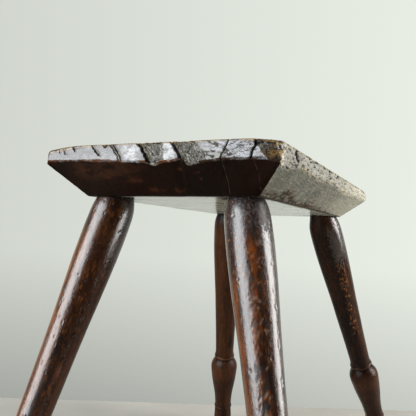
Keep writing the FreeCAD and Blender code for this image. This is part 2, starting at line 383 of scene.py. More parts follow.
# %% Height of the lower arris
def smooth_line(knots, places):
    """A natural cubic spline through (place, value) pairs, read at the given places."""
    x, y = np.array(sorted(knots), float).T
    gaps = np.diff(x)
    count = len(x)
    system = np.eye(count)
    target = np.zeros(count)
    for i in range(1, count - 1):
        system[i, i - 1 : i + 2] = gaps[i - 1], 2 * (gaps[i - 1] + gaps[i]), gaps[i]
        target[i] = 6 * ((y[i + 1] - y[i]) / gaps[i] - (y[i] - y[i - 1]) / gaps[i - 1])
    bend = np.linalg.solve(system, target)
    at = np.clip(places, x[0], x[-1])
    i = np.clip(np.searchsorted(x, at) - 1, 0, count - 2)
    left, right, gap = x[i + 1] - at, at - x[i], gaps[i]
    return (
        (bend[i] * left**3 + bend[i + 1] * right**3) / (6 * gap)
        + (y[i] / gap - bend[i] * gap / 6) * left
        + (y[i + 1] / gap - bend[i + 1] * gap / 6) * right
    )


front_arris = [
    (-136, 30.6), (-118, 31.1), (-71, 31.1), (-38.5, 30.4), (-14, 29.8), (-5.7, 28.6), (-0.9, 27.3),
    (9.3, 29.2), (25, 31.4), (31.5, 32.0), (35.7, 28.7), (47.6, 28.4), (61.7, 30.4), (74, 31.7),
    (106.4, 32.4), (118.5, 32.4), (126.6, 30.5), (136, 28.2),
]
right_arris = [
    (-213, 28.2), (-182, 27.6), (-150, 32), (-120, 30.9), (-96, 29.8), (-61, 29.6), (-16.5, 31.1),
    (23, 29.1), (73, 27.6), (122, 29.2), (187, 28.8), (213, 29.2),
]
waves = np.c_[arris_line, np.zeros(len(arris_line))]
arris_height = 29.8 + 1.2 * unevenness(waves, 45, 3)
on_front = facing[:, 1] < -0.7
on_right = facing[:, 0] > 0.7
arris_height[on_front] = smooth_line(front_arris, arris_line[on_front, 0])
arris_height[on_right] = smooth_line(right_arris, arris_line[on_right, 1])
order = np.arange(len(arris_height))
settled = np.abs(facing).max(1) > 0.999
arris_height = np.interp(order, order[settled], arris_height[settled], period=len(order))
arris_height += 0.25 * unevenness(waves, 6, 4)
print("lower arris runs from", arris_height.min().round(1), "to", arris_height.max().round(1), "mm")

# %% [markdown]
# ## Rows down the section
# Each column is drawn from the top down: the top arris, the band, the lower arris, the bevel and its
# foot. The arrises are small curves with three guide points, so each can be worn round by as much as it
# looks. Hands and knees rub a corner more than the middle of a side, so the top arris has an amount of
# its own near each corner. The top sinks a little where people sat.


# %% Curves, straight runs and the worn top
def curve_rows(start, corner, stop, count):
    """Rows of a small curve that leaves start and reaches stop, drawn towards corner."""
    shares = np.linspace(0, 1, count)[:, None, None]
    return (1 - shares) ** 2 * start + 2 * shares * (1 - shares) * corner + shares**2 * stop


def straight_rows(start, stop, count):
    shares = np.linspace(0, 1, count + 2)[1:-1, None, None]
    return start + shares * (stop - start)


def worn_top(x, y):
    """The top that shows: a hair below the tenons, with shallow dips where people sat."""
    spots = np.stack([x, y, np.zeros_like(x)], -1)
    sat_on = ramp(np.hypot(x / 80, y / 150), 1.3, 0.6)
    return top_height(x, y) - (0.15 + 0.35 * (1 + unevenness(spots, (38, 90, 60), 11, 3)) * sat_on)


def with_height(plan, heights):
    return np.c_[plan, np.broadcast_to(heights, len(plan))]


print("the top has sunk at its middle by", round(float(top_height(0, 0) - worn_top(0, 0)), 2), "mm")

# %% Wear the rim and the lower arris
drift_height = 26.6             # the height over which the top outline leaves the lower arris's outline
rim_rise = 16.6                 # about how far above the lower arris the top meets the band
near_rim = arris_line + (top_line - arris_line) * rim_rise / drift_height
rim_height = worn_top(*near_rim.T)
rim = arris_line + (top_line - arris_line) * ((rim_height - bevel_height) / drift_height)[:, None]
rubbed_spots = np.array([(-125, -205), (125, -205), (128, 205), (-128, 205)])
rubbed_by = np.array([4.2, 0.8, 4.5, 3.0])
nearness = np.exp(-(((rim[:, None] - rubbed_spots) ** 2).sum(-1)) / 900)
soften = 1.7 + nearness @ rubbed_by + 0.4 * unevenness(waves, 12, 6)
near_left = ramp(-facing[:, 0], 0.0, 0.3) * ramp(-arris_line[:, 1], 60, 180)
left_corner_height = 27.6       # of the lower arris, round the front left corner
arris_height = arris_height + (left_corner_height - arris_height) * near_left
# Where the lower arris dips it also stands in, because it follows the bevel's slope.
lowered = (bevel_height - arris_height) * (arris_height < bevel_height)
arris_plan = arris_line - facing * (lowered * undercut / bevel_height * (1 - 0.85 * near_left))[:, None]
print("the top arris is softened by", soften.min().round(1), "to", soften.max().round(1), "mm")


# %% Weave the edge
def direction(start, stop):
    return (stop - start) / np.linalg.norm(stop - start, axis=1)[:, None]


foot_crease = 1.6
inset = rim - facing * soften[:, None]
rim_in = with_height(inset, worn_top(*inset.T))
rim_corner = with_height(rim, rim_height)
band_head = with_height(rim, rim_height - soften)
arris = with_height(arris_plan, arris_height)
under = with_height(under_line, under_height(under_line[:, 0]))
crease = (1.3 + 0.5 * unevenness(waves, 9, 7) + 1.2 * (facing[:, 0] > 0.7))[:, None]
band_foot = arris + direction(arris, band_head) * crease
bevel_head = arris + direction(arris, under) * crease
bevel_foot = under - direction(arris, under) * foot_crease
inner_line = under_line - facing * foot_crease
under_in = with_height(inner_line, under_height(inner_line[:, 0]))
parts = [
    curve_rows(rim_in, rim_corner, band_head, 8),
    straight_rows(band_head, band_foot, 24),
    curve_rows(band_foot, arris, bevel_head, 6),
    straight_rows(bevel_head, bevel_foot, 40),
    curve_rows(bevel_foot, under, under_in, 5),
]
edge = np.concatenate(parts)
# Each row keeps the number of its part, so that later steps can tell them apart.
row_part = np.concatenate([np.full(len(rows), index) for index, rows in enumerate(parts)])
print("edge grid:", edge.shape[0], "rows of", edge.shape[1])

# %% [markdown]
# ## Splits, cuts and pits
# What makes this edge is its damage: four slanting cuts across the front band, two splits that run
# through the whole thickness, a few notches in the top arris and worm-eaten pits along the right side.
# Each cut or split is a short path on its face. The distance from it tells how deep the wood is sunk.


# %% Distance from a path
def from_path(first, second, path):
    """How far each point (first, second) lies from a run of straight pieces."""
    nearest = np.full(first.shape, 1e9)
    for (a0, b0), (a1, b1) in zip(path[:-1], path[1:]):
        run_a, run_b = a1 - a0, b1 - b0
        share = ((first - a0) * run_a + (second - b0) * run_b) / (run_a**2 + run_b**2)
        share = np.clip(share, 0, 1)
        nearest = np.minimum(nearest, np.hypot(first - a0 - share * run_a, second - b0 - share * run_b))
    return nearest


# On the front band, as (x, z) paths with half a width and a depth, in millimetres.
front_cuts = [
    ([(-76.5, 47.5), (-71, 40.5), (-67.2, 36.4)], 1.0, 1.5),
    ([(-53.5, 48), (-45.5, 39), (-41, 31.6)], 0.9, 1.6),
    ([(-50.5, 48), (-42, 39), (-37.4, 30.8)], 0.8, 1.4),
    ([(-19.5, 48), (-14, 44.0), (-8.9, 34.5), (-5.4, 28.8)], 1.6, 2.6),
    ([(20.5, 48.5), (28.4, 37.5), (31, 32), (35.7, 29.0)], 1.5, 2.6),
    ([(-122, 47), (-120.2, 39.5)], 0.7, 0.9),
    ([(-116.5, 46), (-111.0, 38.2)], 0.7, 0.9),
    ([(-101.8, 46), (-99.1, 41)], 1.1, 1.0),
    ([(-61.6, 48), (-59, 45), (-55.8, 47.6)], 1.3, 1.0),
]
front_splits = [
    ([(82.1, 50.5), (77.9, 42.6), (73.9, 33.3), (75, 30.5), (74.2, 19.4), (74.3, 11.8), (72.4, 0)],
     0.75, 1.3),
    ([(108.2, 51), (107.6, 43.5), (105.6, 40.5), (105.2, 35.3), (104.7, 32.6)], 1.1, 2.4),
    ([(107.6, 31), (106.8, 19.6), (106.4, 6.1)], 0.6, 0.35),
]
# On the right band, as (y, z) middles with a length, a height and a depth.
right_pits = [
    (-171, 43, 3.6, 2.6, 3.2), (-167, 39.5, 3.8, 2.8, 3.2), (-163, 36.5, 3.4, 1.8, 2.6),
    (-150, 33.3, 2.2, 1.3, 1.4), (-143, 33.0, 2.0, 1.1, 1.2), (-129.5, 32.1, 2.4, 1.0, 1.2),
    (-124, 44.5, 3.4, 1.3, 1.8), (-119, 42, 2.6, 1.1, 1.4), (-106, 46.6, 5.0, 1.1, 1.8),
    (-100, 44.4, 5.0, 1.0, 1.6), (-89.5, 37.6, 2.2, 2.0, 1.5), (-80, 36, 2.4, 0.9, 1.0),
    (5.6, 41.7, 5.0, 2.0, 2.2), (-3, 39.5, 3.6, 1.1, 1.4), (-60, 44, 5, 0.9, 1.2), (-38, 43, 6, 1.0, 1.2),
    (52, 38, 5, 1.0, 1.4), (96, 36.5, 4, 0.9, 1.2), (140, 36, 5, 1.0, 1.3), (-30, 36, 4, 0.8, 1.0),
]
print(len(front_cuts), "cuts,", len(front_splits), "splits and", len(right_pits), "pits")

# %% Facings and masks
# The grid tells its own facing: the cross product of its two directions.
downwards = np.gradient(edge, axis=0)
around = (np.roll(edge, -1, axis=1) - np.roll(edge, 1, axis=1)) / 2
outwards = np.cross(downwards, around)
outwards /= np.maximum(np.linalg.norm(outwards, axis=-1, keepdims=True), 1e-9)
x, y, z = edge[..., 0], edge[..., 1], edge[..., 2]
face_y = np.broadcast_to(facing[:, 1], x.shape)
face_x = np.broadcast_to(facing[:, 0], x.shape)
part_of = np.broadcast_to(row_part[:, None], x.shape)
# Masks are 1 on one face and 0 on the others.
front, back = ramp(-face_y, 0.75, 0.95), ramp(face_y, 0.75, 0.95)
right, left = ramp(face_x, 0.75, 0.95), ramp(-face_x, 0.75, 0.95)
on_band = (part_of <= 2) * 1.0
on_bevel = (part_of >= 3) * 1.0
front_band, front_bevel = front * on_band, front * on_bevel
right_band, right_bevel = right * on_band, right * on_bevel
print("points on the front band:", int((front_band > 0.5).sum()), "right band:", int((right_band > 0.5).sum()))

# %% [markdown]
# ## Sinking the damage
# Every point is pushed inwards by the sum of waves, cuts, splits and pits, and never outwards, so the
# plank keeps its size. A fine noise makes each path wander. Each kind of damage also leaves a mark
# between 0 and 1, which darkens the wood later. Between the cuts the end grain is torn in patches, each
# between two ragged borders, and the right side is crumbly, with thin crevices along the grain.

# %% Sink cuts, splits and pits
ripple = 0.14 * (1 - 0.85 * front_band) * (1 + unevenness(edge, 5, 22))
depth = (0.24 * (1 + unevenness(edge, 30, 21)) + ripple) * np.where(part_of == 0, 0.35, 1.0)
wander = 0.5 * unevenness(edge, 4, 23)
ragged = wander + 0.7 * unevenness(edge, 2.2, 28, 1)
cut_mark, cut_rim, split_mark, pit_mark = (np.zeros_like(x) for _ in range(4))
for path, half, deep in front_cuts:
    gap = from_path(x + ragged, z, path)
    mark = np.clip(1 - gap / half, 0, 1) ** 0.8 * front_band
    depth += deep * mark
    cut_mark = np.maximum(cut_mark, ramp(half - gap, 0, 0.5) * front_band * min(deep, 1.0))
    beside = from_path(x + ragged - half - 1.2, z, path)
    cut_rim = np.maximum(cut_rim, ramp(2.4 - beside, 0, 1.2) * front_band * min(deep / 2, 1.0))
for path, half, deep in front_splits:
    gap = from_path(x + wander, z, path)
    mark = np.clip(1 - gap / half, 0, 1) * front
    depth += deep * mark
    split_mark = np.maximum(split_mark, np.clip(1.2 - gap / half, 0, 1) * front * min(deep, 1.0))
for place_y, place_z, long, high, deep in right_pits:
    gap = np.hypot((y + wander - place_y) / long, (z + wander * 0.6 - place_z) / high)
    mark = np.clip(1.15 - gap, 0, 1) ** 0.7 * right_band
    depth += deep * mark
    pit_mark = np.maximum(pit_mark, ramp(1.15 - gap, 0, 0.35) * right_band)
print("deepest cut, split or pit:", depth.max().round(1), "mm")


# %% Sink the torn patches and the crevices
def torn_patch(left_border, right_border, fade=0.8):
    """1 between two ragged borders on the front band, each a run of (z, x) points, and 0 outside them."""
    stray = 1.5 * unevenness(edge, 3.5, 25)
    low = np.interp(z, *np.array(left_border, float).T)
    high = np.interp(z, *np.array(right_border, float).T)
    return ramp(x + stray - low, -0.6, 0.6) * ramp(high - x + stray, -fade, fade) * front_band


rough_mark = np.maximum(
    torn_patch([(28, -4), (34.5, -8), (44, -13), (48, -18)], [(31, 11.7), (42, 10.5), (49, 8.7)], 2.6),
    torn_patch([(29, 36.5), (32, 32), (37.5, 29), (48.5, 21.5)], [(36, 58), (39.5, 56), (42.5, 51), (49, 46)],
               2.6),
)
wavy_mark = torn_patch([(30, 56), (50, 56)], [(28, 82), (38.8, 78), (40.5, 64), (41.5, 56), (50, 50)])
end_patch = torn_patch([(28, 124), (34, 118), (38, 115.5), (47, 106.5), (50, 105)], [(28, 150), (50, 150)])
# A slanting dark band on the front band's right half is a painted shadow.
slanting_shadow = ramp(1.9 - from_path(x + ragged, z, [(62, 49), (78, 41), (89, 31.5)]), -0.8, 0.8) * front_band
depth += 0.5 * np.maximum(rough_mark, 0.6 * end_patch) * (1 + unevenness(edge, 1.6, 26, 1))
tilted = np.stack([x, y + 1.6 * z, z], -1)
crevice = right_band * ramp(unevenness(tilted, (4, 5.0, 1.3), 27, 2), 0.32, 0.55)
depth += 0.25 * right_band * (1 + unevenness(edge, (3, 5, 2), 29)) + 0.7 * crevice
edge = edge - outwards * depth[..., None]
print("deepest mark:", depth.max().round(1), "mm")

# %% [markdown]
# ## Closing the plank above and below
# The top and the underside are flat sheets with four holes each. A Delaunay fill joins the grid's rim,
# the sockets' mouths and a scatter of points between them into even triangles, which leaves the sockets
# as true holes.


# %% Fill a sheet that has holes
def sheet_between(rim_points, mouths, spacing, seed):
    """Points inside a rim but outside the mouths, and the triangles that join them all, as indices into
    rim, mouths and inner points, in that order."""
    loops = [rim_points] + mouths
    low, high = rim_points.min(0), rim_points.max(0)
    grid = np.stack(np.meshgrid(*(np.arange(low[i], high[i], spacing) for i in (0, 1))), -1).reshape(-1, 2)
    grid = grid + np.random.default_rng(seed).uniform(-0.2, 0.2, grid.shape) * spacing
    keep = (np.abs(grid) < high - 1.5).all(1)
    keep &= np.hypot(*np.maximum(np.abs(grid) - high + 17, 0).T) < 15
    for mouth in mouths:
        keep &= np.linalg.norm(grid - mouth.mean(0), axis=1) > np.ptp(mouth, axis=0).max() / 2 + 1.0
    inner = grid[keep]
    points = np.concatenate(loops + [inner])
    edges, start = [], 0
    for loop in loops:
        edges += [(start + i, start + (i + 1) % len(loop)) for i in range(len(loop))]
        start += len(loop)
    flat = [Vector(point) for point in points]
    made, _, faces, origins, _, _ = mathutils.geometry.delaunay_2d_cdt(flat, edges, [], 1, 1e-6)
    source = [group[0] if group else -1 for group in origins]
    triangles = [[source[i] for i in face] for face in faces]
    middles = np.array([np.mean([made[i] for i in face], axis=0) for face in faces])
    wanted = np.ones(len(faces), bool)
    for mouth in mouths:
        wanted &= np.linalg.norm(middles - mouth.mean(0), axis=1) > np.ptp(mouth, axis=0).min() / 2 - 0.4
    return inner, [tri for tri, keep_it in zip(triangles, wanted) if keep_it and min(tri) >= 0]


top_inner, top_faces = sheet_between(edge[0, :, :2], [m[:, :2] for m in top_mouths], 3.5, 31)
under_inner, under_faces = sheet_between(edge[-1, :, :2], [m[:, :2] for m in under_mouths], 3.4, 32)
print("top:", len(top_faces), "triangles; underside:", len(under_faces))

# %% [markdown]
# ## Joining the plank into one mesh
# All the points go into one list, in a known order, so that each sheet's triangles can be counted on
# from where its points start. Quads join each ring of points to the next: down the edge, and from each
# socket's upper mouth to its lower one.

# %% Gather the plank's points
rows, columns = edge.shape[:2]
under_waves = unevenness(with_height(under_inner, 0.0), (60, 9, 60), 33)
groups = [
    edge.reshape(-1, 3),
    *[with_height(m[:, :2], worn_top(*m[:, :2].T)) for m in top_mouths],
    with_height(top_inner, worn_top(*top_inner.T)),
    *[with_height(m[:, :2], under_height(m[:, 0]) + 0.1) for m in under_mouths],
    with_height(under_inner, under_height(under_inner[:, 0]) + 0.12 * (1 + under_waves)),
]
starts = np.cumsum([0] + [len(group) for group in groups])
plank_points = np.concatenate(groups)
top_order = np.r_[0:columns, starts[1] : starts[6]]
under_order = np.r_[(rows - 1) * columns : rows * columns, starts[6] : starts[11]]
print("plank:", len(plank_points), "points in", len(groups), "groups")


# %% Join the plank
def quads(upper, lower, count, inwards=False):
    """Quads between two rings of count points, given the number of each ring's first point."""
    ring = [(upper + i, lower + i, lower + (i + 1) % count, upper + (i + 1) % count) for i in range(count)]
    return [(a, d, c, b) for a, b, c, d in ring] if inwards else ring


edge_faces = [face for row in range(rows - 1) for face in quads(row * columns, (row + 1) * columns, columns)]
collars = [face for hole in range(4)
           for face in quads(starts[1 + hole], starts[6 + hole], len(top_mouths[0]), inwards=True)]
top_set = [tuple(top_order[list(tri)]) for tri in top_faces]
under_set = [tuple(under_order[list(tri)])[::-1] for tri in under_faces]
plank_faces = edge_faces + collars + top_set + under_set
print("plank:", len(plank_faces), "faces")

# %% [markdown]
# ## Where the plank is pale, dark, polished or rough
# The same wood looks quite different from face to face: polished and pale on the front band, nearly
# black under it, bare and grey-green along the right side, and waxed brown on top. Each point gets a
# tone, a polish between 0 and 1, and a grit that says how rough it feels, blended in through masks.


# %% Mix tones by masks
def paint(tones, *coats):
    """Tones with each coat, a color and a mask, blended in after the one before."""
    for color, mask in coats:
        tones = tones + (tone(*color) - tones) * np.clip(mask, 0, 1)[..., None]
    return tones


def blend_value(values, value, mask):
    return values + (value - values) * np.clip(mask, 0, 1)


def blotch(points, size, seed, low=-0.2, high=0.6, layers=3):
    return ramp(unevenness(points, size, seed, layers), low, high)


# %% Tone the plank's edge
plank_tone = np.broadcast_to(tone(92, 70, 52), edge.shape).copy()
polish = np.full(x.shape, 0.35)
grit = np.full(x.shape, 0.5)
fade = blotch(edge, 40, 41)
for mask, pale, deep, shine, feel in (
    (front_band, (68, 66, 66), (56, 54, 54), 0.88, 0.02),
    (front_bevel, (20, 8, 4), (14, 6, 3), 0.5, 0.3),
    (right_band, (122, 121, 114), (100, 98, 90), 0.25, 0.9),
    (right_bevel, (98, 98, 89), (84, 84, 75), 0.2, 0.8),
    (back * on_band, (104, 88, 70), (70, 54, 42), 0.5, 0.8),
    (back * on_bevel, (44, 25, 16), (26, 14, 9), 0.45, 0.5),
    (left * on_band, (120, 108, 90), (84, 68, 52), 0.45, 0.8),
    (left * on_bevel, (84, 72, 58), (52, 38, 29), 0.3, 0.7),
):
    plank_tone = paint(plank_tone, (pale, mask), (deep, mask * fade))
    polish = blend_value(polish, shine, mask)
    grit = blend_value(grit, feel, mask)
print("mean tone of the edge:", plank_tone.mean((0, 1)).round(3))

# %% [markdown]
# ## The front band's figure
# The polished band is cloudy along slanting lines, and palest between the torn patches; these pale greys
# are partly a painted reflection of the lamp. The torn patches are dark and dull with dirt, a slanting
# band is painted shadow, and at the right end the wax has worn down to golden brown.

# %% Tone the front band
slanting_bands = np.stack([x + 0.9 * z, y, z - 0.45 * x], -1)
rolling = np.stack([x, y, z + 1.2 * np.sin(x / 3.1) + 0.8 * np.sin(x / 1.7)], -1)
palest_with_painted_sheen = front_band * np.maximum(ramp(x, -40, -30) * ramp(-x, 14, 22), ramp(x, 8, 13) * ramp(-x, -27, -21))
wavy_lines = blotch(rolling, (6, 6, 0.75), 49, 0.0, 0.3, 2)
pale_right_with_painted_sheen = front_band * ramp(x, 52, 62) * (1 - end_patch) * (1 - wavy_mark)
streaked = front_band * ramp(x, 72, 80) * (1 - end_patch)
dark_streaks = streaked * blotch(slanting_bands + rolling * (0, 0, 0.5), (6, 9, 0.9), 44, 0.18, 0.42, 2)
slanting_shadow = slanting_shadow * blotch(edge, (2.4, 2.4, 2.0), 68, -0.5, 0.0)
golden = end_patch * ramp(41.5 - z + 0.25 * (x - 120) + 3 * unevenness(edge, 4, 48), -3, 3)
plank_tone = paint(
    plank_tone,
    # The pale greys here (cloudy, palest, pale right) are partly a painted reflection of the lamp on the
    # polish.
    ((104, 102, 101), front_band * blotch(slanting_bands, (9, 9, 5), 72) * 0.6),
    ((156, 156, 156), palest_with_painted_sheen * blotch(slanting_bands, (5, 5, 3), 76, -0.5, 0.4) * 0.7),
    ((92, 90, 84), np.maximum(rough_mark, 0.85 * wavy_mark)),
    ((40, 38, 34), rough_mark * blotch(slanting_bands, (1.7, 3, 3.2), 42, 0.0, 0.5)),
    # Pale specks in the torn patches: pale fibres, partly painted glints.
    ((146, 144, 138), rough_mark * blotch(slanting_bands, (1.4, 2, 2.6), 43, 0.2, 0.6) * 0.75),
    ((24, 22, 20), wavy_mark * wavy_lines * 0.9),
    ((124, 125, 128), pale_right_with_painted_sheen * blotch(rolling, (7, 7, 1.2), 69, -0.5, 0.2, 2) * 0.9),
    ((44, 42, 40), np.maximum(streaked * 0.12, dark_streaks * 0.85)),
    ((52, 45, 37), slanting_shadow * 0.9),
    ((52, 49, 44), end_patch),
    ((96, 94, 88), end_patch * blotch(slanting_bands, (3, 3, 1.2), 74, 0.2, 0.6)),
    ((16, 14, 12), end_patch * blotch(edge, (5, 5, 2.2), 50, 0.1, 0.5)),
    ((106, 80, 42), golden * blotch(slanting_bands, (3.4, 3.4, 1.9), 47, -0.5, 0.6)),
    ((20, 16, 12), golden * blotch(slanting_bands, (1.6, 1.6, 1.2), 70, 0.0, 0.5) * 0.85),
)
matt = np.maximum.reduce([rough_mark, wavy_mark * wavy_lines, end_patch, slanting_shadow, dark_streaks])
polish = blend_value(polish, 0.3, matt)
grit = blend_value(grit, 1.4, np.maximum(rough_mark, end_patch))
print("share of the front band that is torn or dirty:", (matt[front_band > 0.5] > 0.5).mean().round(2))

# %% [markdown]
# ## Cuts, splits and the front bevel
# Along the lower arris the wax is rubbed down to red brown. The cuts and splits are painted nearly
# black, a painted shade in them, with a paler rim beside each cut. On the black bevel there are russet
# spots, and the splits show as pale lines.

# %% Tone the cuts, the splits and the front bevel
low_glow = (part_of == 2) * front * blotch(edge, 9, 45, -0.6, 0.2)
russet = np.zeros_like(x)
for place_x, place_z, wide_spot, high_spot in (
    (-10, 4, 8, 2.4), (17, 3, 7, 2.6), (26, 23, 3, 2), (45, 20, 3, 1.6),
    (47, 15, 2.5, 1.5), (-62, 18, 16, 4), (-92, 22, 12, 3), (-30, 12, 10, 2),
):
    near = np.hypot((x - place_x) / wide_spot, (z - place_z) / high_spot)
    russet = np.maximum(russet, ramp(1.2 - near + 0.7 * unevenness(edge, 3, 46), 0, 0.9))
brown_left = front_bevel * ramp(-x, 0, 40) * ramp(x, -120, -90) * ramp(z, 6, 20)
pale_split = ramp(0.7 - from_path(x + wander, z, front_splits[0][0]), 0, 0.5) * front_bevel
faint_split = ramp(0.7 - from_path(x + 2 * wander, z, front_splits[2][0]), 0, 0.5) * front_bevel
plank_tone = paint(
    plank_tone,
    ((72, 40, 18), low_glow * ramp(-x, -34, -20) * ramp(x, -100, -78)),
    ((58, 32, 17), low_glow * ramp(-x, 78, 100)),
    ((84, 74, 54), cut_rim * blotch(edge, 1.5, 65, -0.4, 0.3) * 0.85),
    ((40, 26, 18), low_glow * ramp(x, 20, 40)),
    # Cuts and splits are painted nearly black, a painted shade in them.
    ((7, 6, 5), np.maximum(cut_mark * 0.95, np.where(split_mark > 0.3, 0.97, split_mark))),
    ((56, 29, 14), front_bevel * russet * 0.6),
    ((42, 24, 12), brown_left * blotch(edge, (14, 14, 5), 66, -0.5, 0.5) * 0.8),
    ((86, 70, 60), pale_split * 0.8),
    ((56, 40, 35), faint_split * blotch(edge, (3, 3, 7), 75, -0.4, 0.3) * 0.55),
)
polish = blend_value(polish, 0.3, cut_rim)
polish = blend_value(polish, 0.15, cut_mark)
print("points in cuts and splits:", int((np.maximum(cut_mark, split_mark) > 0.5).sum()))

# %% [markdown]
# ## The right side's marks
# The bare right side is ochre along its arrises and black in its pits and crevices, a painted shade in
# those hollows. Slanting saw lines cross its bevel, and a dark red stain runs along the bevel's foot,
# where wax once ran. Towards the back the side is painted paler, a painted pool of the side lamp's light.

# %% Tone the right side
ochre = right * np.where((part_of == 2) | (part_of == 0), 0.7, 0.12) * blotch(edge, 6, 51, -0.4, 0.4)
saw_lines = 0.5 + 0.5 * np.sin((z + 0.144 * y + 0.7 * unevenness(edge, 9, 60)) * 2 * np.pi / 2.6)
stain_top = 2.5 + 9.0 * np.exp(-(((y + 128) / 28) ** 2)) + 3.0 * np.exp(-(((y + 40) / 60) ** 2))
stain_top = stain_top + 2.0 * unevenness(edge, 8, 53)
not_far = ramp(-y, -150, -60)
stain = right_bevel * ramp(stain_top + 1.5 * unevenness(edge, 2.6, 73) - z, -2.5, 3) * not_far
rusty = right_bevel * ramp(stain_top + 5 - z, -3, 3) * not_far * blotch(edge, 8, 54, 0, 0.5)
plank_tone = paint(
    plank_tone,
    ((136, 124, 92), ochre),
    # Pits and crevices are painted nearly black: painted shade in the hollows.
    ((20, 19, 17), crevice * 0.92),
    ((6, 6, 5), pit_mark),
    ((66, 66, 58), right_bevel * saw_lines * blotch(edge, 14, 64, -0.6, 0.3) * 0.75),
    # Paler towards the back: painted light from the side lamp.
    ((178, 174, 156), right * ramp(y, -60, 180) * 0.5),
    ((32, 22, 19), stain * 0.95),
    ((52, 48, 41), right_bevel * ramp(9 - z, 0, 9) * ramp(-y, 60, 140) * 0.85),
    ((84, 64, 52), rusty * 0.6),
    ((118, 117, 104), right_bevel * blotch(edge, (3, 6, 2), 55, 0.1, 0.6) * 0.6),
    ((138, 114, 74), right * blotch(edge, (3, 5, 3), 56, 0.62, 0.8) * 0.5),
)
print("stain at its highest:", stain_top.max().round(1), "mm above the underside")

# %% [markdown]
# ## The front right corner and the arrises
# The nearest corner is chipped: pale wood, ochre and black lie side by side there. Round the top the
# arris is rubbed through its wax, and the bevel's foot blends the two faces that it joins.

# %% Tone the corner and the arrises
corner_chips = ramp(face_x, 0.08, 0.3) * ramp(-y, 196, 203) * on_band
on_rim = (part_of == 0) * 1.0
rim_wear = on_rim * (0.8 + 0.2 * unevenness(edge, 3, 59))
towards_top = np.pad(np.linspace(1, 0, 8), (0, rows - 8))[:, None]
bevel_end = (part_of == 4) * ramp(-z, -3, 0)
plank_tone = paint(
    plank_tone,
    ((176, 174, 168), corner_chips * 0.9),
    ((150, 124, 74), corner_chips * blotch(edge, 3, 57, 0.0, 0.4)),
    ((14, 13, 12), corner_chips * blotch(edge, 1.9, 58, -0.05, 0.15) * 0.95),
    ((104, 82, 50), rim_wear * (1 - right)),
    ((134, 126, 102), rim_wear * right),
    ((30, 25, 19), rim_wear * blotch(edge, (5, 5, 5), 67, 0.0, 0.3)),
    ((70, 46, 30), towards_top**2),
    ((70, 62, 52), bevel_end * 0.8 * (1 - front)),
    ((20, 13, 9), bevel_end * front),
)
print("mean tone of the edge:", plank_tone.mean((0, 1)).round(3))

# %% [markdown]
# ## The top and the underside
# The top is waxed brown, darker towards the edges and paler where it has been sat on. The underside is
# pale, with fine saw lines, and smooth enough to mirror the pale wall at a grazing angle. Round the
# sockets it is painted darker, a painted shade where the legs meet it.


# %% Tone the two sheets and the sockets
def tone_top(points):
    sat_on = ramp(np.hypot(points[:, 0] / 80, points[:, 1] / 150), 1.5, 0.5)
    colors = paint(
        np.broadcast_to(tone(74, 46, 29), points.shape),
        ((126, 86, 54), sat_on * 0.75),
        ((52, 33, 22), blotch(points, (30, 90, 30), 61, 0.1, 0.8) * 0.7),
    )
    return colors, 0.55 + 0.2 * sat_on, 0.5 - 0.2 * sat_on


def tone_under(points):
    chips = blotch(points, (7, 3.4, 7), 71, 0.38, 0.6) * ramp(-points[:, 1], 110, 165)
    colors = paint(
        np.broadcast_to(tone(190, 192, 178), points.shape),
        ((132, 130, 116), blotch(points, (70, 3.6, 70), 62, 0.2, 0.7) * 0.7),
        ((52, 46, 38), chips * 0.9),
        ((118, 106, 90), blotch(points, 35, 63, 0.4, 0.9) * 0.4),
    )
    # Round each socket the underside is painted darker: painted shade where the leg meets it.
    for mouth in under_mouths:
        gap = np.linalg.norm(points[:, :2] - mouth[:, :2].mean(0), axis=1) - 18
        colors = paint(colors, ((44, 35, 28), ramp(-gap, -20, -1) * 0.85))
    return colors, np.full(len(points), 1.0), np.full(len(points), 0.12)


looks = [(plank_tone.reshape(-1, 3), polish.ravel(), grit.ravel())]
for index, group in enumerate(groups[1:], 1):
    colors, shine, feel = tone_top(group) if index <= 5 else tone_under(group)
    if index not in (5, 10):
        colors = paint(colors, ((22, 15, 11), np.full(len(group), 0.85)))
    looks.append((colors, shine, feel))
all_tones, all_polish, all_grit = (np.concatenate(values) for values in zip(*looks))
print("points with a tone:", len(all_tones))

# %% [markdown]
# ## The graph of the wood
# One graph serves every piece of wood. It reads the tones that each point brings, and its place in the
# log, so the figure passes from one face to the next as in solid wood. Fibres are a noise stretched
# along the grain, pores a finer noise with most of it cut away, and growth rings are bands round the
# log's heart, bent by another noise. They tint the wood and lift or sink its surface by the same
# pattern, because on real wood it is the same fibre that does both.


# %% The figure of the wood
def noise(tree, place, scale, detail, roughness=0.5, output="Fac"):
    inputs = {"Vector": place, "Scale": scale, "Detail": detail, "Roughness": roughness}
    return add(tree, "TexNoise", inputs).outputs[output]


def wood_figure(tree, log):
    """Outputs for fibres, pores, speckle, growth rings and the unevenness that a hand would feel."""
    along_grain = calc(tree, "MULTIPLY", log, (1.0, 1.0, 0.07), kind="VectorMath")
    fibre = noise(tree, along_grain, 0.9, 6.0, 0.65)
    pore = remap(tree, noise(tree, along_grain, 2.6, 2.0), 0.36, 0.26)
    speckle = noise(tree, log, 1.1, 5.0, 0.7)
    bend = noise(tree, along_grain, 0.05, 3.0, output="Color")
    bent = calc(tree, "MULTIPLY_ADD", bend, (26.0, 26.0, 0.0), log, kind="VectorMath")
    rings = add(tree, "TexWave", {"Vector": bent, "Scale": 0.07, "Distortion": 1.5, "Detail": 2.0},
                wave_type="RINGS", rings_direction="Z").outputs["Fac"]
    hand_feel = noise(tree, calc(tree, "MULTIPLY", log, (1.0, 1.0, 0.4), kind="VectorMath"), 0.3, 3.0)
    return fibre, pore, speckle, rings, hand_feel


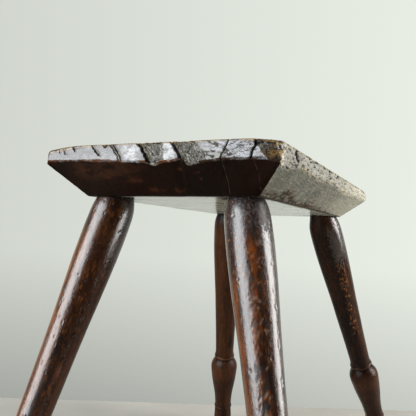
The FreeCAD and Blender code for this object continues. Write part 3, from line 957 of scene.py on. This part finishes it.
# %% Build a wood finish
def wood_finish(name, ring_strength, fibre_strength, bump, coat, gloss):
    """A finish with so much of rings, fibres and relief, and so much of wax and of gloss on top."""
    made = bpy.data.materials.new(name)
    made.use_nodes = True
    tree = made.node_tree
    wood = tree.nodes["Principled BSDF"]
    base = add(tree, "Attribute", attribute_name="wood_tone").outputs["Color"]
    shine = add(tree, "Attribute", attribute_name="polish").outputs["Fac"]
    feel = add(tree, "Attribute", attribute_name="grit").outputs["Fac"]
    log = add(tree, "Attribute", attribute_name="in_the_log").outputs["Vector"]
    fibre, pore, speckle, rings, hand_feel = wood_figure(tree, log)
    gain = remap(tree, fibre, 0.25, 0.75, 1 - fibre_strength, 1 + fibre_strength)
    for other in (
        remap(tree, rings, 0.0, 1.0, 1 - ring_strength, 1 + ring_strength * 0.6),
        remap(tree, speckle, 0.3, 0.7, 0.8, 1.2),
        calc(tree, "MULTIPLY_ADD", pore, -0.5, 1.0),
    ):
        gain = calc(tree, "MULTIPLY", gain, other)
    color = add(tree, "VectorMath", {0: base, "Scale": gain}, operation="SCALE").outputs[0]
    roughness = calc(tree, "MULTIPLY_ADD", speckle, 0.22, remap(tree, shine, 0.0, 1.0, 0.85, 0.2))
    roughness = calc(tree, "SUBTRACT", roughness, 0.15, use_clamp=True)
    relief = calc(tree, "ADD", fibre, speckle)
    relief = calc(tree, "MULTIPLY_ADD", hand_feel, 2.2, relief)
    relief = calc(tree, "MULTIPLY_ADD", pore, -0.6, relief)
    lift = calc(tree, "MULTIPLY", feel, bump)
    raised = add(tree, "Bump", {"Height": relief, "Strength": lift, "Distance": 0.0009}).outputs[0]
    for label, output in (("Base Color", color), ("Roughness", roughness), ("Normal", raised)):
        tree.links.new(output, wood.inputs[label])
    for label, value in (("Coat Weight", coat), ("Coat Roughness", 0.16), ("Specular IOR Level", gloss)):
        wood.inputs[label].default_value = value
    return made


# %% [markdown]
# ## Seven finishes from one graph
# Any gloss lays a grey veil over dark wood, so the waxed bevel and the dirt and painted shade have
# finishes of their own with hardly any. The underside has a glossy one, and the legs one with a coat of
# wax and one without.

# %% Make the finishes
plank_finish = wood_finish("plank_wood", 0.14, 0.26, 0.6, 0.0, 0.3)
dark_wax = wood_finish("dark_waxed_bevel", 0.1, 0.3, 0.5, 0.0, 0.05)
dull_dirt_and_shade = wood_finish("dull_dirt_and_painted_shade", 0.1, 0.3, 0.8, 0.0, 0.08)
smooth_under = wood_finish("smooth_underside", 0.1, 0.2, 0.4, 0.0, 0.8)
leg_finish = wood_finish("leg_wood", 0.1, 0.4, 0.35, 0.28, 0.32)
duller_leg = wood_finish("leg_wood_at_the_back", 0.1, 0.4, 0.35, 0.0, 0.1)
wedge_finish = wood_finish("wedge_wood", 0.2, 0.3, 0.5, 0.0, 0.4)
print("wood graph:", len(plank_finish.node_tree.nodes), "nodes")

# %% [markdown]
# ## From points to pieces
# Each piece is made the same way: a mesh from points and faces, smooth shading, its stored tones and
# grain, a finish, the body it rides on and the solid it stands for. One function does all that.


# %% Make a piece
def make_piece(name, points, faces, looks, log, finish, node):
    tones, shine, feel = looks
    mesh = bpy.data.meshes.new(name)
    mesh.from_pydata((on_the_floor(points) / 1000).tolist(), [], faces)
    mesh.validate()
    mesh.polygons.foreach_set("use_smooth", np.ones(len(mesh.polygons), bool))
    colors = mesh.attributes.new("wood_tone", "FLOAT_COLOR", "POINT")
    colors.data.foreach_set("color", np.c_[tones, np.ones(len(tones))].astype(np.float32).ravel())
    for label, values in (("polish", shine), ("grit", feel)):
        mesh.attributes.new(label, "FLOAT", "POINT").data.foreach_set("value", values.astype(np.float32))
    grain = mesh.attributes.new("in_the_log", "FLOAT_VECTOR", "POINT")
    grain.data.foreach_set("vector", log.astype(np.float32).ravel())
    mesh.materials.append(finish)
    piece = bpy.data.objects.new(name, mesh)
    bpy.context.scene.collection.objects.link(piece)
    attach(piece, "root")
    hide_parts(node)
    print(name + ":", len(mesh.vertices), "points,", len(mesh.polygons), "faces")
    return piece


# %% [markdown]
# ## The plank as a piece
# Each face of the plank then gets one of the four finishes: dark wax on the front bevel and the back
# one, the dull one wherever a mark of dirt or of painted shade says so, the glossy finish on the
# underside, and plain wood everywhere else.

# %% Make the plank
plank_log = np.stack([plank_points[:, 0] + 20, plank_points[:, 2] + 70, plank_points[:, 1]], -1)
plank = make_piece("plank", plank_points, plank_faces, (all_tones, all_polish, all_grit), plank_log,
                   plank_finish, "seat")
for finish in (dark_wax, dull_dirt_and_shade, smooth_under):
    plank.data.materials.append(finish)
waxed = (row_part[:-1] >= 3)[:, None] & (np.abs(facing[:, 1]) > 0.7)[None, :]
waxed |= (row_part[:-1] >= 2)[:, None] & (facing[:, 1] < -0.7)[None, :]
dirt_and_shade = np.maximum.reduce([matt, cut_mark, split_mark, pit_mark, crevice, stain])
dirt_and_shade = (dirt_and_shade[:-1] + dirt_and_shade[1:]) / 2
dirt_and_shade = (dirt_and_shade + np.roll(dirt_and_shade, -1, axis=1)) / 2 > 0.5
which_finish = np.zeros(len(plank.data.polygons), np.int32)
which_finish[: waxed.size] = np.where(waxed, 1, np.where(dirt_and_shade, 2, 0)).ravel()
which_finish[len(which_finish) - len(under_set) :] = 3
plank.data.polygons.foreach_set("material_index", which_finish)
print("faces in dark wax:", int(waxed.sum()), "and in dirt:", int((dirt_and_shade & ~waxed).sum()))

# %% [markdown]
# ## The leg's turned outline
# A turner works from a few sizes: where the leg is thickest, where the taper ends, and the bead, the
# groove, the bulb, the neck and the ring. Smooth splines join the long parts, and short arcs make the
# small ones, so the outline can be read as one radius for each distance down the leg.


# %% The radius at each distance down the leg
def bow(guides, places):
    """Heights of an arc through three (drop, radius) pairs."""
    (x1, y1), (x2, y2), (x3, y3) = guides
    system = np.array([[x1, y1, 1], [x2, y2, 1], [x3, y3, 1]], float)
    a, b, c = np.linalg.solve(system, [-(x1**2 + y1**2), -(x2**2 + y2**2), -(x3**2 + y3**2)])
    middle_x, middle_y = -a / 2, -b / 2
    round_size = math.sqrt(middle_x**2 + middle_y**2 - c)
    side = 1 if y2 > (y1 + y3) / 2 else -1
    return middle_y + side * np.sqrt(np.maximum(round_size**2 - (places - middle_x) ** 2, 0))


def part_way(start, stop, along, change):
    return start[0] + along * (stop[0] - start[0]), start[1] + change * (stop[1] - start[1])


# Points as (drop, radius), in millimetres.
crown, shoulder, swell, shaft_end = (-13.09, 15.708), (0, 18.7), (30.4, 24.15), (258.8, 16.2)
bead_start, bead, bead_end = (268.8, 16.9), (271.3, 18.0), (273.8, 16.9)
bulb_start, bulb, neck, ring_end = (277.4, 17.0), (300.9, 23.25), (376.0, 14.75), (380.0, 14.75)
upper = [crown, shoulder, part_way(shoulder, swell, 0.38, 0.66), swell,
         part_way(swell, shaft_end, 0.5, 0.5), shaft_end]
lower = [bulb_start, part_way(bulb_start, bulb, 0.3, 0.72), bulb, part_way(bulb, neck, 0.4, 0.44),
         part_way(bulb, neck, 0.66, 0.8), neck]
foot_line = [ring_end, (408.5, 16.1), (475.0, 14.75)]
# Each stretch of the turning: where it ends, its kind of curve, and the points that guide it.
stretches = [
    (shaft_end[0], smooth_line, upper),
    (bead_start[0], bow, (shaft_end, (264.8, 16.41), bead_start)),
    (bead_end[0], bow, (bead_start, bead, bead_end)),
    (bulb_start[0], bow, (bead_end, (275.6, 15.2), bulb_start)),
    (neck[0], smooth_line, lower),
    (ring_end[0], bow, (neck, (378, 16.0), ring_end)),
    (math.inf, smooth_line, foot_line),
]


def leg_radius(drop):
    radius = 0.0
    for last_drop, curve, guides in reversed(stretches):
        radius = np.where(drop <= last_drop, curve(guides, drop), radius)
    return radius


print("radius at the swell, bead and bulb:", leg_radius(np.array([swell[0], bead[0], bulb[0]])).round(2))

# %% [markdown]
# ## The legs' wear
# A leg that has stood for centuries isn't quite round any more: it has dents and pits, and slanting
# strokes crowd where something has chafed it. Its tone runs from nearly black, where wax and dirt built
# up, to orange-brown, where it has been rubbed. A leg is a grid as well, so all marks are placed by how
# far down and how far round it they lie. The last rows end level with the floor.

# %% Areas of the legs' surfaces
# Middle angle and half width in degrees round the leg, from and to down it, tone and strength.
leg_areas = {
    "front_left": [
        (-136, 24, 60, 480, (106, 57, 18), 0.8), (0, 30, 60, 480, (44, 23, 11), 0.7),
        # The front left leg's orange-brown strip at -92 degrees lies along the lamp's streak: partly a painted
        # highlight.
        (-92, 14, 60, 480, (92, 52, 22), 0.7), (-60, 10, 120, 300, (12, 8, 6), 0.7),
    ],
    "front_right": [
        (-126, 15, 90, 480, (92, 49, 19), 0.75), (-56, 15, 175, 480, (18, 12, 9), 0.6),
        (-74, 11, 55, 165, (104, 52, 16), 0.85), (-60, 60, 0, 50, (30, 27, 27), 0.85),
    ],
    "back_right": [
        (-62, 14, 70, 210, (12, 8, 6), 0.9), (-40, 9, 90, 230, (76, 42, 20), 0.75),
        (-80, 60, 0, 12, (92, 52, 26), 0.7), (-90, 60, 0, 480, (18, 10, 7), 0.8),
        (-50, 60, 285, 370, (50, 30, 20), 0.5),
    ],
    "back_left": [
        (-90, 60, 20, 262, (52, 28, 11), 0.85), (-90, 50, 285, 370, (38, 20, 9), 0.8),
        (-60, 16, 10, 70, (10, 7, 6), 0.8),
    ],
}
# Place down the leg, angle round it, and half sizes across and down, for the pits that show most.
leg_pits = {
    "front_left": [(149, -90, 1.3, 3.0), (154, -73, 1.2, 2.0), (169, -81, 1.4, 2.0), (196, -93, 1.8, 2.6),
                   (204, -67, 1.0, 1.2), (108, -53, 1.0, 2.4)],
    "front_right": [(102, -20, 1.0, 2.6), (110, -142, 1.4, 3.2), (150, -14, 1.6, 4.0)],
}
# Scratches as (place down, angle) points.
leg_scratches = {
    "front_right": [
        [(92, -68), (103, -64), (117, -52)], [(112, -80), (116, -66)], [(98, -55), (108, -58)],
        [(84, -76), (96, -72)], [(126, -84), (140, -74)], [(70, -60), (78, -63)],
    ],
    "front_left": [[(110, -50), (116, -44)]],
    "back_left": [[(150, -96), (158, -90)]],
}
# Where slanting strokes crowd: middle angle and half width, from and to down the leg, and strength.
crowded = {
    "front_right": [(-72, 20, 165, 330, 1.0), (-66, 26, 50, 165, 0.5)],
    "back_right": [(-62, 16, 60, 210, 0.6)],
}
print("areas:", sum(map(len, leg_areas.values())), "pits:", sum(map(len, leg_pits.values())))


# %% Strokes and places on a leg
def off_angle(turn, angle):
    """Degrees from an angle, between -180 and 180."""
    return (turn - angle + 180) % 360 - 180


def between(values, low, high, soft_low, soft_high):
    """1 between low and high, and a smooth fall to 0 over twice each softness."""
    return ramp(values, low - soft_low, low + soft_low) * ramp(-values, -high - soft_high, -high + soft_high)


def crowded_strokes(corner, turn, drop, seed):
    """Slanting strokes, from -1 to 1, and how strongly they crowd at each point of a leg."""
    across = np.radians(turn) * surface_radius
    slanted = np.stack([across * 0.8 + drop * 0.6, drop * 0 + 9.0, drop * 0.8 - across * 0.6], -1)
    share = np.zeros_like(drop)
    for angle, half, start, stop, power in crowded.get(corner, []):
        inside = ramp(half - np.abs(off_angle(turn, angle)), -4, 8) * between(drop, start, stop, 30, 20)
        share = np.maximum(share, inside * power)
    return unevenness(slanted, (2.0, 5, 6.5), seed + 15, 2), share


surface_radius = 22             # about a leg's radius, to turn angles round it into millimetres
figure_radius = 25              # the round on which a leg's unevenness is read
foot_reach = 15.0               # from a leg's axis to the edge of its foot
last_rows_from = 381.6          # how far down a leg its last rows start
print("millimetres in ten degrees:", round(math.radians(10) * surface_radius, 1))


# %% Turn and wear one leg
def leg_grid(corner, seed, steps=160):
    """Where each point of a leg's surface lies, and how far it is worn in there."""
    foot, spin = leg_places[corner]
    close = [(-13.0, 262, 1.1), (262, 281, 0.4), (281, 374, 1.1), (374, 382, 0.4)]
    drops = np.concatenate([np.arange(*stretch) for stretch in close])
    angles, round_way = round_a_leg(corner, steps)
    last_drop = (on_the_floor(foot)[2] + foot_reach * (round_way @ tip[2])) / (spin[:, 2] @ tip[2])
    low_rows = last_rows_from + np.linspace(0, 1, 44)[1:, None] * (last_drop - last_rows_from)
    drop = np.concatenate([np.repeat(drops[:, None], steps, 1), low_rows])
    on_figure = figure_radius * np.cos(angles), figure_radius * np.sin(angles), drop
    place = np.stack(np.broadcast_arrays(*on_figure), -1)
    turn = np.degrees(np.arctan2(place[..., 1], place[..., 0]))
    dents = ramp(unevenness(place, (3.0, 3.0, 4.5), seed + 2), 0.82, 1.05)
    for down, angle, wide_pit, high_pit in leg_pits.get(corner, []):
        off = off_angle(turn, angle) * np.pi / 180 * surface_radius
        gap = np.hypot(off / wide_pit, (drop - down) / high_pit) + 0.3 * unevenness(place, 1.5, seed + 3, 1)
        dents = np.maximum(dents, ramp(1.1 - gap, 0, 0.6))
    strokes, share = crowded_strokes(corner, turn, drop, seed)
    worn = 0.24 * (1 + unevenness(place, (22, 22, 60), seed))
    worn = worn + 0.045 * (1 + unevenness(place, (4, 4, 9), seed + 1))
    worn = worn + 0.4 * dents + 0.25 * share * ramp(strokes, -0.15, 0.3)
    return SimpleNamespace(drop=drop, turn=turn, place=place, dents=dents, strokes=strokes, share=share,
                           worn=worn, round_way=round_way)


def leg_points(corner, grid):
    """The grid's points, cut off where they would enter the plank or the floor."""
    foot, spin = leg_places[corner]
    axis = spin[:, 2]
    made = foot - grid.drop[..., None] * axis + (leg_radius(grid.drop) - grid.worn)[..., None] * grid.round_way
    above = np.maximum(made[..., 2] - under_height(made[..., 0]), 0)
    made = made - (above / (axis[2] - under_rise * axis[0]))[..., None] * axis
    below = np.minimum(on_the_floor(made)[..., 2], 0)
    return made - (below / (axis @ tip[2]))[..., None] * axis


trial_grid = leg_grid("front_left", 100)
print("rows down a leg:", len(trial_grid.drop), "deepest drop:", trial_grid.drop.max().round(1))

# %% [markdown]
# ## Toning a leg
# Streaks and blotches along the grain come first, with a painted shade where the leg meets the plank,
# then areas, scratches and flecks, with painted glints among the crowded strokes, and last the dark
# grooves, the bead and the bulb that every polishing cloth has rubbed, and the dirt on the foot.


# %% Marks on a leg
def hump(values, middle, width):
    return np.exp(-(((values - middle) / width) ** 2))


def scratch_mark(corner, grid, seed):
    """1 in a leg's scratches and in its crowded strokes."""
    scratched = np.zeros_like(grid.drop)
    across = np.radians(grid.turn) * surface_radius + 0.5 * unevenness(grid.place, 3, seed + 14, 1)
    for path in leg_scratches.get(corner, []):
        in_millimetres = [(down, math.radians(angle) * surface_radius) for down, angle in path]
        scratched = np.maximum(scratched, ramp(0.7 - from_path(grid.drop, across, in_millimetres), 0, 0.4))
    limit = 0.35 - 0.5 * grid.share
    return np.maximum(scratched, ramp(grid.strokes, limit, limit + 0.15) * grid.share)


def fleck_mark(corner, grid, seed):
    """1 where the wax has flaked off in small spots."""
    place, turn, drop = grid.place, grid.turn, grid.drop
    flecked = blotch(place, (1.7, 1.7, 2.6), seed + 16, 0.62, 0.8) * fleck_share[corner]
    flecked = flecked * ramp(130 - drop, -20, 40) * ramp(30 - np.abs(turn + 108), -8, 10)
    if corner == "back_right":
        lit = ramp(16 - np.abs(turn + 52), -4, 6) * ramp(drop, 60, 90) * ramp(-drop, -215, -190)
        flecked = np.maximum(flecked, lit * blotch(place, (2.2, 2.2, 3.6), seed + 17, 0.3, 0.5))
    return flecked


warmth_of = {"front_left": 0.9, "front_right": 0.75, "back_left": 0.6, "back_right": 0.35}
polish_of = {"front_left": 0.95, "front_right": 0.97, "back_left": 0.8, "back_right": 0.98}
fleck_share = {"front_left": 0.2, "front_right": 0.9, "back_left": 0.15, "back_right": 0.2}
print("the leg with the most flecks:", max(fleck_share, key=fleck_share.get))


# %% Tone one leg
# The grooves beside the bead and the ring, as place down the leg, width and darkness.
leg_grooves = ((275.6, 1.6, 1.0), (268.4, 1.2, 0.7), (375.6, 1.0, 1.0), (380.6, 1.0, 1.0))


def tone_leg(corner, grid, seed):
    place, turn, drop, warmth = grid.place, grid.turn, grid.drop, warmth_of[corner]
    # Where a leg meets the plank it is painted darker: a painted shade in that corner.
    shade_at_top = ramp(-drop, -26, -4)
    tones = paint(
        np.broadcast_to(tone(38, 19, 9), place.shape),
        ((66, 37, 15), blotch(place, (9, 9, 50), seed + 5, -0.2, 0.8) * warmth * 0.8),
        ((17, 9, 6), blotch(place, (12, 12, 30), seed + 6, 0.0, 0.6) * 0.85),
        ((104, 58, 22), blotch(place, (1.5, 1.5, 6), seed + 7, 0.2, 0.8) * 0.55 * warmth),
        ((9, 6, 5), blotch(place, (1.7, 1.7, 3.2), seed + 8, 0.42, 0.7) * 0.85),
        ((20, 14, 12), shade_at_top * 0.85),
    )
    wobble = 9 * unevenness(place, (8, 8, 30), seed + 10)
    streaks = 0.4 + 0.6 * blotch(place, (2.0, 2.0, 7), seed + 11, -0.5, 0.4)
    for angle, half, start, stop, color, power in leg_areas[corner]:
        area = ramp(half - np.abs(off_angle(turn + wobble, angle)), -6, 8)
        tones = paint(tones, (color, area * between(drop + wobble, start, stop, 12, 12) * power * streaks))
    scratched = scratch_mark(corner, grid, seed)
    mottled = ramp(44 - drop, -10, 14) * blotch(place, (1.6, 1.6, 2.2), seed + 18, 0.1, 0.4)
    grooves = sum(hump(drop, down, width) * darkness for down, width, darkness in leg_grooves)
    tones = paint(
        tones,
        ((78, 43, 21), ramp(grid.share, 0.5, 1.0) * 0.75),
        # Pale grey lines between the strokes are painted glints: a painted highlight on the strokes' edges.
        ((128, 114, 102), ramp(-grid.strokes, 0.55, 0.7) * grid.share * 0.45),
        ((8, 6, 5), scratched * 0.92),
        ((132, 80, 40), fleck_mark(corner, grid, seed) * 0.75),
        ((64, 61, 61), mottled * (0.7 if corner == "front_right" else 0.0)),
        ((12, 8, 7), grooves * 0.85),
        ((108, 62, 34), (hump(drop, 271.3, 1.4) * 0.5 + hump(drop, 301, 12) * 0.3) * warmth),
        ((14, 9, 7), ramp(drop, 400, 440) * 0.6),
    )
    dulled = {
        "front_right": 0.15 * ramp(-drop, -60, -20) * ramp(turn, -60, -40),
        "front_left": 0.13 * ramp(drop, 100, 220),
        "back_left": 0.2 * ramp(drop, 270, 290),
    }.get(corner, 0.0)
    shine = polish_of[corner] - 0.1 * blotch(place, (10, 10, 24), seed + 9, 0, 0.8)
    shine = shine - 0.4 * np.maximum(grid.dents, scratched) - 0.1 * shade_at_top - dulled
    return tones, shine, 0.5 + 0.6 * grid.dents


print("mean tone of the front left leg:", tone_leg("front_left", trial_grid, 100)[0].mean((0, 1)).round(3))

# %% [markdown]
# ## Tenons and wedges
# At the top of each leg a round tenon runs through the plank. A saw kerf splits its end, and a wedge of
# paler wood, thick at its head and trimmed flush, spreads it in the socket. So the worn top shows a round
# of end grain in two halves with a pale strip between. Each half, and each wedge, is a stack of outlines
# with its top edge softened, and a hair of room is left between them, so the meshes never touch.


# %% Outlines of a split tenon
def half_round(radius, flat, side, count=30):
    """One half of a round, cut off straight at flat from the middle line, on one side of it."""
    reach = math.asin(min(flat / radius, 1))
    angles = np.linspace(reach, math.pi - reach, count)
    arc = np.c_[np.cos(angles), np.sin(angles)] * radius
    across = np.linspace(arc[-1, 0], arc[0, 0], 12)[1:-1]
    shape = np.concatenate([arc, np.c_[across, np.full(10, flat)]])
    return shape if side > 0 else (shape * (1, -1))[::-1]


def stack(outlines, depths, corner):
    """Closed body from outlines square to the leg's axis, each carried so far below the flat of the top."""
    foot, spin = leg_places[corner]
    axis, count = spin[:, 2], len(outlines[0])
    points = []
    for shape, below in zip(outlines, depths):
        flat = foot + shape[:, :1] * spin[:, 0] + shape[:, 1:] * spin[:, 1]
        points.append(flat + np.outer(way_to_top(flat, axis, below), axis))
    points.append(points[-1].mean(0)[None])
    top = (len(outlines) - 1) * count
    faces = [face for a in range(0, top, count) for face in quads(a, a + count, count, inwards=True)]
    faces += [(top + i, top + (i + 1) % count, top + count) for i in range(count)]
    faces.append(tuple(range(count))[::-1])
    return np.concatenate(points), faces


# Half the kerf's width at its foot, how much wider it is at the top, and its depth.
kerf_half, kerf_flare, kerf_depth = 0.45, 1.35, 34


def split_tenon(corner, side):
    """One half of a tenon. Each outline lies so far below the top, and is so much smaller than the full one."""
    depths, shrinks = (34, 20, 8, 2, 0.7, 0.25, 0.05, 0.02, 0.02), (0, 0, 0, 0, 0.05, 0.3, 0.8, 2.4, 5.0)
    outlines = []
    for below, shrink in zip(depths, shrinks):
        flat = kerf_half + kerf_flare * (1 - below / kerf_depth) + shrink
        outlines.append(half_round(tenon_radius - shrink, flat, side))
    return stack(outlines, depths, corner)


sample, _ = split_tenon("front_left", 1)
print("half a tenon:", len(sample), "points")


# %% Shape a wedge
def in_leg(points, corner):
    foot, spin = leg_places[corner]
    return (points - foot) @ spin


# Half a wedge's thickness at its tip, how much thicker it is at its head, its length, and the room beside it.
tip_half, head_growth, wedge_length, room_beside = 0.4, 1.3, 32, 0.12


def build_wedge(corner, seed):
    outlines, depths = [], (31, 16, 5, 1.0, 0.3, 0.04, 0.03)
    for below, shrink in zip(depths, (0, 0, 0, 0, 0.1, 0.35, 0.7)):
        half_thick = tip_half + head_growth * (1 - below / wedge_length) - room_beside - shrink * 0.5
        half_wide = math.sqrt(tenon_radius**2 - half_thick**2) - 0.3 - shrink
        along = np.linspace(-half_wide, half_wide, 24)
        outlines.append(np.c_[np.r_[along, along[::-1]], np.repeat((-half_thick, half_thick), 24)])
    points, faces = stack(outlines, depths, corner)
    pale_wood = np.broadcast_to(tone(128, 92, 60), points.shape)
    tones = paint(pale_wood, ((84, 56, 36), blotch(points, 4, seed + 13)))
    looks = tones, np.full(len(points), 0.5), np.full(len(points), 0.8)
    return make_piece("wedge_" + corner + "_driven", points, faces, looks, in_leg(points, corner),
                      wedge_finish, "wedge_" + corner)


print("a wedge's head is", round(2 * (tip_half + head_growth - room_beside), 2), "mm thick")

# %% [markdown]
# ## Putting each leg together
# The leg's grid, its level foot and its two tenon halves go into one mesh. The grain runs straight down
# a leg, so it is stored in the leg's own directions. The front legs are waxed but dull on one part, the
# back right leg is the other way round, and fine noise breaks up the border between the two finishes.


# %% Gather one leg's mesh
def leg_mesh(corner, grid, seed):
    """Points, faces and looks of a leg: its grid, the middles of its foot and head, and two tenon halves."""
    surface = leg_points(corner, grid)
    tones, shine, feel = tone_leg(corner, grid, seed)
    count, steps = grid.drop.shape
    last, used = (count - 1) * steps, count * steps
    faces = [face for first in range(0, last, steps) for face in quads(first, first + steps, steps)]
    faces += [(last + i, used, last + (i + 1) % steps) for i in range(steps)]
    faces += [(i, (i + 1) % steps, used + 1) for i in range(steps)]
    ends = np.stack([surface[-1].mean(0), surface[0].mean(0)])
    parts = [(surface.reshape(-1, 3), tones.reshape(-1, 3), shine.ravel(), feel.ravel()),
             (ends, tone(30, 22, 18)[None].repeat(2, 0), np.full(2, 0.2), np.ones(2))]
    for side in (1, -1):
        half, half_faces = split_tenon(corner, side)
        used = sum(len(part[0]) for part in parts)
        faces += [tuple(used + i for i in face) for face in half_faces]
        in_socket = np.arange(len(half)) < 5 * 40
        end_tone = paint(np.broadcast_to(tone(92, 60, 38), half.shape),
                         ((50, 32, 22), blotch(half, 6, seed + 12)), ((26, 17, 12), in_socket * 0.8))
        parts.append((half, end_tone, np.full(len(half), 0.6), np.full(len(half), 0.8)))
    points, *looks = (np.concatenate(values) for values in zip(*parts))
    return points, faces, looks


# Angles and drops between which a leg has the other legs' finish.
other_finish = {
    "front_left": (-28, 80, 80, 480), "front_right": (-56, 60, -40, 44), "back_right": (-70, 30, 0, 74),
}
print("legs with a second finish:", sorted(other_finish))

# %% [markdown]
# ## The four legs
# The legs differ only in their places, their seeds and the tables above, so one loop makes them all.

# %% Build the four legs and their wedges
for number, corner in enumerate(leans):
    seed = 100 + 20 * number
    grid = leg_grid(corner, seed)
    points, faces, looks = leg_mesh(corner, grid, seed)
    finishes = (leg_finish, duller_leg) if "front" in corner else (duller_leg, leg_finish)
    leg = make_piece("leg_" + corner + "_turned", points, faces, looks, in_leg(points, corner),
                     finishes[0], "leg_" + corner)
    if corner in other_finish:
        leg.data.materials.append(finishes[1])
        low_angle, high_angle, low_drop, high_drop = other_finish[corner]
        angle_here = grid.turn + 12 * unevenness(grid.place, (1.3, 1.3, 3), seed + 19)
        drop_here = grid.drop + 17 * unevenness(grid.place, (1.2, 1.2, 2.4), seed + 20, 2)
        changed = np.abs(off_angle(angle_here, (low_angle + high_angle) / 2)) < (high_angle - low_angle) / 2
        changed &= (drop_here > low_drop) & (drop_here < high_drop)
        indices = np.zeros(len(faces), np.int32)
        indices[: changed[:-1].size] = changed[:-1].ravel()
        leg.data.polygons.foreach_set("material_index", indices)
    build_wedge(corner, seed)
print("legs and wedges made:", 2 * len(leans))
